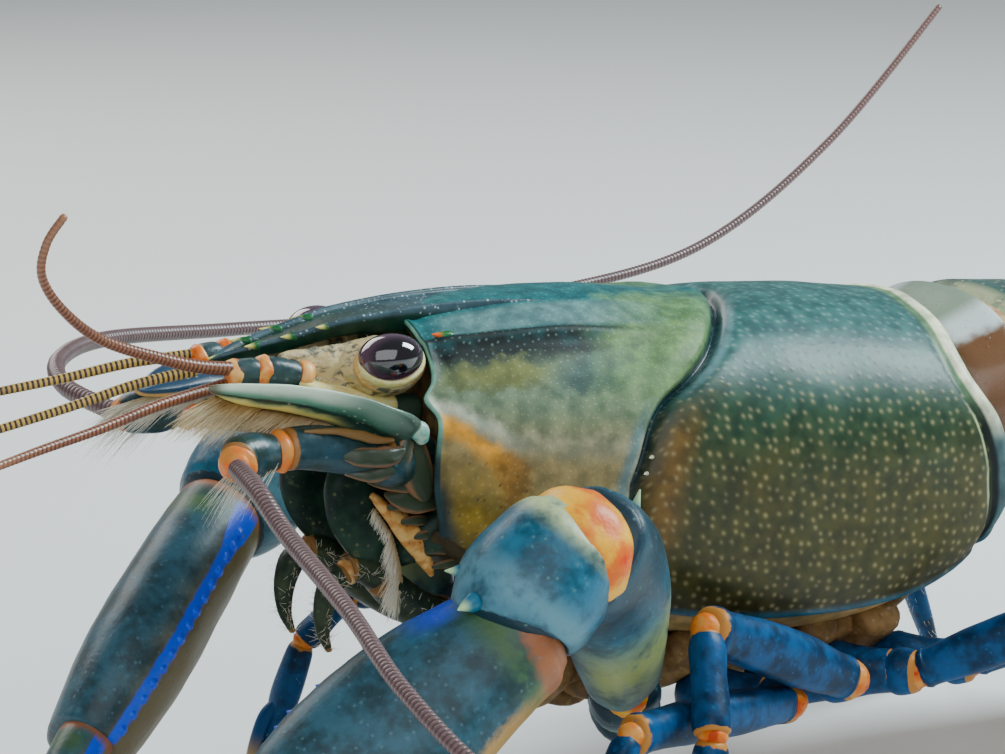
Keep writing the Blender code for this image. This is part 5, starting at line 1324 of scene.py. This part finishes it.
def abdomenColours():
    # the mark part picks soft skin 1, the first ring's neck 4 or the inner side 5
    finish = Finish("abdomenShell", {"Coat Weight": 0.35, "Coat Roughness": 0.15})
    along, around, part = finish.fields("along run part")
    cloud, mottle, grain = finish.noise(0.35, 4), finish.noise(1.4, 4), finish.noise(8, 3)
    high = around + (cloud - 0.5) * 30
    dots = (finish.cells(1.2, None, False, 0.9) - mottle * 0.16 - 0.09).ease(0.06, -0.03)
    # the first ring's neck; its dark brown lower part is partly the skin's brown and partly painted shadow
    neck = finish.layers(
        (0.22, 0.29, 0.21),
        (around.ease(14, 27), (0.62, 0.69, 0.68)),
        ((around + (mottle - 0.5) * 8).ease(34, 43), (0.155, 0.070, 0.028)))
    patchy = mottle.ease(0.35, 0.65)
    colour = finish.layers(
        (0.028, 0.105, 0.085),
        (high.ease(25, 75), (0.12, 0.15, 0.055)),
        (high.ease(72, 92), (0.42, 0.30, 0.10)),
        (along.ease(0.34, 0.24), (0.36, 0.38, 0.22)),
        ((cloud + mottle * 0.4).ease(0.62, 0.85) * 0.6, (0.012, 0.05, 0.06)),
        (dots * 0.8, (0.55, 0.50, 0.28)),
        ((along + (mottle - 0.5) * 0.03).ease(0.93, 0.975), (0.46, 0.34, 0.16)),
        (part.hill(4, 0.3), neck),
        (part.hill(1, 0.4), finish.mix(patchy, (0.52, 0.24, 0.10), (0.66, 0.50, 0.24))),
        (part.hill(5, 0.3), finish.mix(patchy, (0.50, 0.36, 0.17), (0.32, 0.20, 0.09))))
    height = grain * 0.3 + dots * 0.5 + mottle * 0.5
    return finish.wear(colour, mottle * 0.15 + 0.22, height, 0.045, 0.7)


abdomenMaterial = abdomenColours()


def abdomenRing(number):
    skin = Skin()
    upper, steps, inner = abdomenPlan["across"], abdomenPlan["flapSteps"], abdomenPlan["thickness"]
    outerPart = 4.0 if number == 1 else 0.0
    rings, marks = [], []
    for share, dropShare, shrink in abdomenPlan["rows"]:
        spot, turn, rise, halfWidth, drop = abdomenFrame(number, share)
        rise, halfWidth, drop = rise - shrink, halfWidth - shrink, drop * dropShare
        half, degrees = [], []
        for k in range(upper // 2, upper):
            angle = math.radians(-90 + 180 * k / (upper - 1))
            y = halfWidth * math.copysign(abs(math.sin(angle)) ** 0.85, angle)
            z = rise * math.cos(angle) ** 0.9 if abs(angle) < 1.5707 else 0.0
            lift = 0.09 * hill(abs(math.degrees(angle)), 60, 9) * ease(share, 0.3, 0.5)
            lift += rough((spot.x, y, z), 3, 0.08)
            half.append((y * (1 + lift / 10), z + lift * math.cos(angle)))
            degrees.append(abs(math.degrees(angle)))
        for i in range(1, steps + 1):
            t = i / steps
            half.append((halfWidth * (1 - 0.07 * t * t + 0.02 * math.sin(math.pi * t)), -drop * t))
            degrees.append(90 + 3 * i)
        # the lip of the flap, then the inner side
        half += [(halfWidth * 0.93 - inner * 0.5, -drop - 0.12),
                 (halfWidth * 0.93 - inner * 0.95, -drop * 0.97),
                 (halfWidth * 0.95 - inner, -drop * 0.62), (halfWidth * 0.92 - inner, -drop * 0.5),
                 (halfWidth * 0.6, -drop * 0.4), (halfWidth * 0.25, -drop * 0.34)]
        degrees += [120, 121, 122, 130, 150, 170]
        full = half + [(-y, z) for y, z in half[::-1][:-1]]
        rings.append([spot + turn @ Vector((0, y, z)) for y, z in full])
        marks.append([{"along": share, "run": d, "part": 5.0 if d > 121 else outerPart}
                      for d in degrees + degrees[::-1][:-1]])
    skin.addRings(rings, lambda i, k: marks[i][k])
    soft, count = [], abdomenPlan["softCount"]
    for share, shrink in abdomenPlan["softRows"]:
        spot, turn, rise, halfWidth, drop = abdomenFrame(number, share)
        ring = []
        for k in range(count):
            angle = 2 * math.pi * k / count
            c, s = math.cos(angle), math.sin(angle)
            y = (halfWidth - shrink) * math.copysign(abs(s) ** 0.85, s)
            z = (rise - shrink) * abs(c) ** 0.9 if c > 0 else -drop * 0.42 * abs(c) ** 0.8
            ring.append(spot + turn @ Vector((0, y, z)))
        soft.append(ring)
    skin.addRings(soft, lambda i, k: {"along": 0.5, "part": 1.0, "run": 60})
    if 2 <= number <= 5:
        swimmerets(skin, number)
    makePiece(f"abdomenRing{number}", skin, abdomenMaterial, [f"abdomen_{number}"])


def swimmerets(skin, number):
    # a pair of small two-branched paddles below the ring
    spot, turn, rise, halfWidth, drop = abdomenFrame(number, 0.55)
    for s in (-1, 1):
        root = spot + turn @ Vector((0, s * halfWidth * 0.52, -drop * 0.4))
        down = turn @ Vector((0.25, -s * 0.12, -1)).normalized()
        knee = root + down * drop * 0.3
        tube(skin, [(*root, 0.7, 0.6), (*root.lerp(knee, 0.6), 0.75, 0.6), (*knee, 0.6, 0.5)],
             (1, 0, 0), count=16, part=5.0)
        for aside, length in abdomenPlan["paddles"]:
            way = (turn @ Vector((0.5, s * aside, -0.9))).normalized()
            tip = knee + way * drop * length
            tube(skin, [(*(knee - way * 0.1), 0.4, 0.32), (*knee.lerp(tip, 0.4), 0.72, 0.34),
                        (*knee.lerp(tip, 0.85), 0.48, 0.26), (*tip, 0.14, 0.12)],
                 (1, 0, 0), count=16, part=5.0)
            swimmeretTips.append((knee, tip, way))


swimmeretTips = []
for number in range(1, 7):
    abdomenRing(number)
print("stage: abdomen")


tailPlan = {
    "telson": ((54.6, 0, 10.1, 4.2, 2.2), (56.8, 0, 9.0, 4.5, 2.0), (59.0, 0, 7.5, 5.1, 1.7),
               (62.0, 0, 5.5, 5.3, 1.3), (66.0, 0, 2.9, 4.9, 0.95), (69.6, 0, 1.15, 4.1, 0.72),
               (71.6, 0, 0.62, 2.9, 0.55), (72.3, 0, 0.5, 1.4, 0.42)),
    "endopod": ((53.6, 5.9, 8.0, 0.9, 1.0), (56.6, 6.6, 7.0, 1.1, 0.95), (59.0, 7.5, 5.9, 1.6, 0.8),
                (61.8, 8.2, 4.6, 2.2, 0.65), (66.0, 9.5, 2.45, 2.5, 0.5), (69.6, 10.7, 0.95, 2.2, 0.42),
                (71.6, 11.4, 0.5, 1.1, 0.36)),
    "exopod": ((57.2, 7.0, 6.6, 0.9, 0.8), (59.2, 9.3, 5.6, 1.6, 0.75), (61.0, 11.8, 4.4, 2.2, 0.65),
               (64.4, 15.2, 2.45, 2.6, 0.5), (67.2, 17.6, 0.95, 2.2, 0.42), (68.6, 19.0, 0.5, 1.1, 0.36)),
}


def tailColours():
    finish = Finish("tailFanShell", {"Coat Weight": 0.3, "Coat Roughness": 0.18})
    along = finish.field("along")
    mottle, grain = finish.noise(1.0, 4), finish.noise(7, 3)
    streak = finish.noise(1.0, 3, finish.stretched(0.4, 1.5, 0.8))
    dots = finish.cells(1.3).ease(0.22, 0.12)
    colour = finish.layers(
        (0.035, 0.095, 0.085),
        (streak.ease(0.35, 0.65), (0.12, 0.15, 0.06)),
        (mottle.ease(0.6, 0.75) * 0.7, (0.012, 0.05, 0.075)),
        (along.ease(0.78, 0.97), (0.52, 0.33, 0.12)),
        (along.ease(0.12, 0.0), (0.50, 0.28, 0.09)),
        (dots * 0.7, (0.55, 0.50, 0.30)))
    return finish.wear(colour, mottle * 0.15 + 0.24, grain * 0.3 + streak * 0.7 + dots * 0.3, 0.06, 0.7)


def blades(centreRidge):
    def relief(along, turn, p):
        # a rib along the middle, shallow troughs beside it
        across = math.cos(turn)
        ribs = centreRidge * hill(across, 0, 0.16) - 0.1 * hill(abs(across), 0.35, 0.18)
        return ribs * (ease(along, 0.02, 0.2) * ease(along, 1.0, 0.75)) + rough(p, 1.2, 0.05)
    return relief


tailMaterial = tailColours()
telson = Skin()
tube(telson, tailPlan["telson"], (0, 1, 0), count=64, steps=6, square=2.8,
     relief=blades(0.12), domes=(0.2, 0.3))
for s in (-1, 1):
    thorn(telson, (66.5, s * 4.75, 2.75), (1, s * 0.5, -0.35), 0.8, 0.3, part=2.0)
makePiece("telsonPlate", telson, tailMaterial, ["telson"])
for label, s in sides:
    fan = Skin()
    for key, side in (("endopod", (0, 1, 0)), ("exopod", (-0.75, s * 0.6, 0))):
        tube(fan, mirrored(tailPlan[key], s), side, count=52, steps=6, square=2.4, relief=blades(0.22),
             domes=(0.3, 0.3))
    for i in range(7):
        t = (i - 3) / 3
        thorn(fan, (66.6 - abs(t) * 0.5, s * (16.9 + 1.1 * t), 1.55 - 0.3 * t),
              (0.6, s * 0.55, -0.5), 0.5, 0.16, part=2.0)
    makePiece("uropodFan_" + label, fan, tailMaterial, ["uropod_" + label])
print("stage: tail fan")


bristlePlan = {
    "seed": 11,
    # root and tip colours
    "goldenBristles": ((0.40, 0.22, 0.06), (0.80, 0.66, 0.40)),
    "paleBristles": ((0.44, 0.32, 0.16), (0.85, 0.80, 0.66)),
    "mouthLine": ((-19.6, 4.1, 25.4), (-18.5, 4.2, 23.7), (-18.0, 4.2, 21.9), (-17.7, 4.1, 20.3)),
    "perLeg": 150, "perPaddle": 26, "perMillimetre": 22,
}


def bristleColours(name):
    finish = Finish(name, {"Subsurface Weight": 0.05, "Subsurface Scale": 0.0005})
    colour = finish.mix(finish.field("along").ease(0.0, 0.9), *bristlePlan[name])
    return finish.wear(colour, finish.noise(0.8, 2) * 0.2 + 0.45)


goldBristles, paleBristles = bristleColours("goldenBristles"), bristleColours("paleBristles")
dice = random.Random(bristlePlan["seed"])


def jitter(amount):
    return Vector([dice.uniform(-amount, amount) for _ in range(3)])


def fringe(skin, start, end, way, count, length, spread=0.15, radius=0.03, sag=(0, 0, 0), bulge=(0, 0, 0)):
    # a row of bristles from start to end, which bows out by bulge
    start, end, way, bulge = Vector(start), Vector(end), Vector(way).normalized(), Vector(bulge)
    for i in range(count):
        t = (i + dice.random()) / count
        root = start.lerp(end, t) + bulge * 4 * t * (1 - t) + jitter(0.05)
        hair(skin, root, way + jitter(spread), length * dice.uniform(0.65, 1.1), radius, sag)


for label, s in sides:
    d, t = headPlan["scaleDrop"][label]
    scaleHair = Skin()
    # the inner, lower edge of the scale
    edge = [(-19.8, s * 5.75, 30.9 + 0.2 * d), (-22.4, s * 5.4, 31.45 + 0.4 * d),
            (-25.5, s * 5.05, 32.05 + 0.8 * d), (-28.4, s * 4.8, 32.85 + 0.7 * t), (-30.1, s * 4.9, 33.6 + t)]
    for n, (a, b) in enumerate(zip(edge, edge[1:])):
        fringe(scaleHair, a, b, (-1, s * 0.25, -0.75 + 0.12 * n), 120 + 60 * n, 1.5 + 0.45 * n, 0.14, 0.036,
               sag=(-0.12, 0, -0.02))
    fringe(scaleHair, (-27.6, s * 5.3, 32.6 + 0.7 * t), (-31.0, s * 5.0, 33.4 + t), (-1, s * 0.15, -0.5),
           260, 2.9, 0.16, 0.04, sag=(-0.1, 0, -0.12))
    coatPiece("scaleBristles_" + label, scaleHair, goldBristles if s < 0 else paleBristles,
              ["antennal_scale_" + label])
    headHair = Skin()
    fringe(headHair, (-26.6, s * 6.9, 30.4), (-29.9, s * 7.6, 30.3), (-0.85, s * 0.25, -0.5), 90, 3.6, 0.22,
           sag=(-0.1, 0, -0.3))
    fringe(headHair, (-18.6, s * 2.9, 35.0), (-24.5, s * 2.9, 34.6), (-0.6, s * 0.3, 0.7),
           110, 0.7, 0.25, 0.022)
    fringe(headHair, (-19.0, s * 3.4, 32.6), (-24.2, s * 3.3, 33.9), (-0.8, s * 0.8, 0.0),
           80, 0.6, 0.25, 0.022)
    coatPiece("headBristles_" + label, headHair, paleBristles, ["antenna_" + label])
    mouthHair = Skin()
    line = mirrored(bristlePlan["mouthLine"], s)
    for n, (a, b) in enumerate(zip(line, line[1:])):
        fringe(mouthHair, a, b, (-0.6, s * 0.1, -0.8), 110 + 70 * n, 0.8 + 0.7 * n, 0.22, 0.034,
               sag=(0.1, 0, -0.2))
    rows = headPlan["maxilliped"]
    for low, high in zip(rows, rows[1:]):
        length = math.dist((low[0], low[2]), (high[0], high[2]))
        for i in range(int(bristlePlan["perMillimetre"] * length)):
            u = dice.random()
            x, y, z, w, h = [a + (b - a) * u for a, b in zip(low, high)]
            inward = dice.choice((-1, 1))
            hair(mouthHair, (x, s * (y + inward * w * 0.8), z),
                 Vector((-0.2, s * inward * 0.5, 0.2)) + jitter(0.5), dice.uniform(0.5, 1.2), 0.024)
    coatPiece("mouthBristles_" + label, mouthHair, paleBristles, ["maxilliped_" + label])
    legHair = Skin()
    for number in legsPlan:
        wrist, foot = feet[number, label]
        down = (foot - wrist).normalized()
        for i in range(bristlePlan["perLeg"]):
            u = dice.uniform(0.15, 0.97)
            r = legsPlan[number]["radius"] * (0.75 - 0.55 * max(0, u - 0.3))
            around = dice.uniform(0, 2 * math.pi)
            out = Vector((math.cos(around), math.sin(around), 0))
            hair(legHair, wrist.lerp(foot, u) + out * r * 0.75, out * 0.8 + down * 0.9 + jitter(0.2),
                 dice.uniform(0.3, 0.8) * (1 - 0.5 * max(0, u - 0.6)), 0.022)
    coatPiece("legBristles_" + label, legHair, paleBristles,
              [f"leg_{n}_{label}_lower" for n in legsPlan])
    fanHair = Skin()
    fringe(fanHair, (63.4, s * 19.4, 0.62), (70.4, s * 16.2, 0.62), (0.9, s * 0.5, -0.04), 150, 2.0, 0.05,
           bulge=(0.55, 0.3 * s, 0))
    fringe(fanHair, (69.6, s * 13.4, 0.62), (70.6, s * 8.4, 0.62), (1, s * 0.15, -0.04), 110, 1.9, 0.05,
           bulge=(1.3, 0, 0))
    coatPiece("fanBristles_" + label, fanHair, goldBristles, ["uropod_" + label])
tailHair = Skin()
fringe(tailHair, (71.3, -3.6, 0.65), (71.3, 3.6, 0.65), (1, 0, -0.05), 130, 1.7, 0.06, bulge=(0.85, 0, 0))
for knee, tip, way in swimmeretTips:
    for i in range(bristlePlan["perPaddle"]):
        u = dice.uniform(0.3, 1.0)
        hair(tailHair, knee.lerp(tip, u) + jitter(0.15), way + jitter(0.35), dice.uniform(0.5, 1.0), 0.025)
coatPiece("tailBristles", tailHair, goldBristles, ["telson"])
print("stage: bristles")


studioPlan = {
    "floor": ((0.80, 0.80, 0.785), (0.83, 0.83, 0.815)), "floorSize": 4.0,
    "sky": (0.86, 0.92, 1.0, 1), "skyStrength": 0.22,
    # place, point aimed at, size in metres, power in watts, colour
    "keyLight": ((265, -60, 285), (5, -8, 28), (0.14, 0.2), 2.45, (0.80, 0.96, 1.0)),
    "fillLight": ((-190, -300, 250), (-5, 0, 24), (0.5, 0.4), 1.25, (0.94, 0.97, 1.0)),
    "backLight": ((-60, 330, 230), (0, 0, 22), (0.3, 0.2), 0.8, (1.0, 0.97, 0.92)),
    "camera": (-126.399, -204.298, 83.195), "turn": (77.6, 0, -30), "lens": 141.2,
}
bpy.ops.mesh.primitive_plane_add(size=studioPlan["floorSize"], location=(0, 0, 0))
ground = bpy.context.object
ground.name = "studioFloor"
finish = Finish("paleFloor", {"Specular IOR Level": 0.2})
cloud = finish.noise(0.004, 3)
ground.data.materials.append(finish.wear(finish.mix(cloud, *studioPlan["floor"]), cloud * 0.05 + 0.8))

world = bpy.data.worlds.new("studioSky")
bpy.context.scene.world = world
world.use_nodes = True
background = world.node_tree.nodes["Background"]
background.inputs["Color"].default_value = studioPlan["sky"]
background.inputs["Strength"].default_value = studioPlan["skyStrength"]

for name in ("keyLight", "fillLight", "backLight"):
    spot, aim, size, power, colour = studioPlan[name]
    data = bpy.data.lights.new(name, "AREA")
    data.shape, data.energy, data.color = "RECTANGLE", power, colour
    data.size, data.size_y = size
    lamp = bpy.data.objects.new(name, data)
    bpy.context.scene.collection.objects.link(lamp)
    lamp.location = toFrame(spot)
    lamp.rotation_euler = (toFrame(aim) - toFrame(spot)).to_track_quat("-Z", "Y").to_euler()

data = bpy.data.cameras.new("photoCamera")
data.lens, data.sensor_width = studioPlan["lens"], 36
camera = bpy.data.objects.new("photoCamera", data)
bpy.context.scene.collection.objects.link(camera)
camera.location = toFrame(studioPlan["camera"])
camera.rotation_euler = [math.radians(a) for a in studioPlan["turn"]]
bpy.context.scene.camera = camera
print("stage: studio")
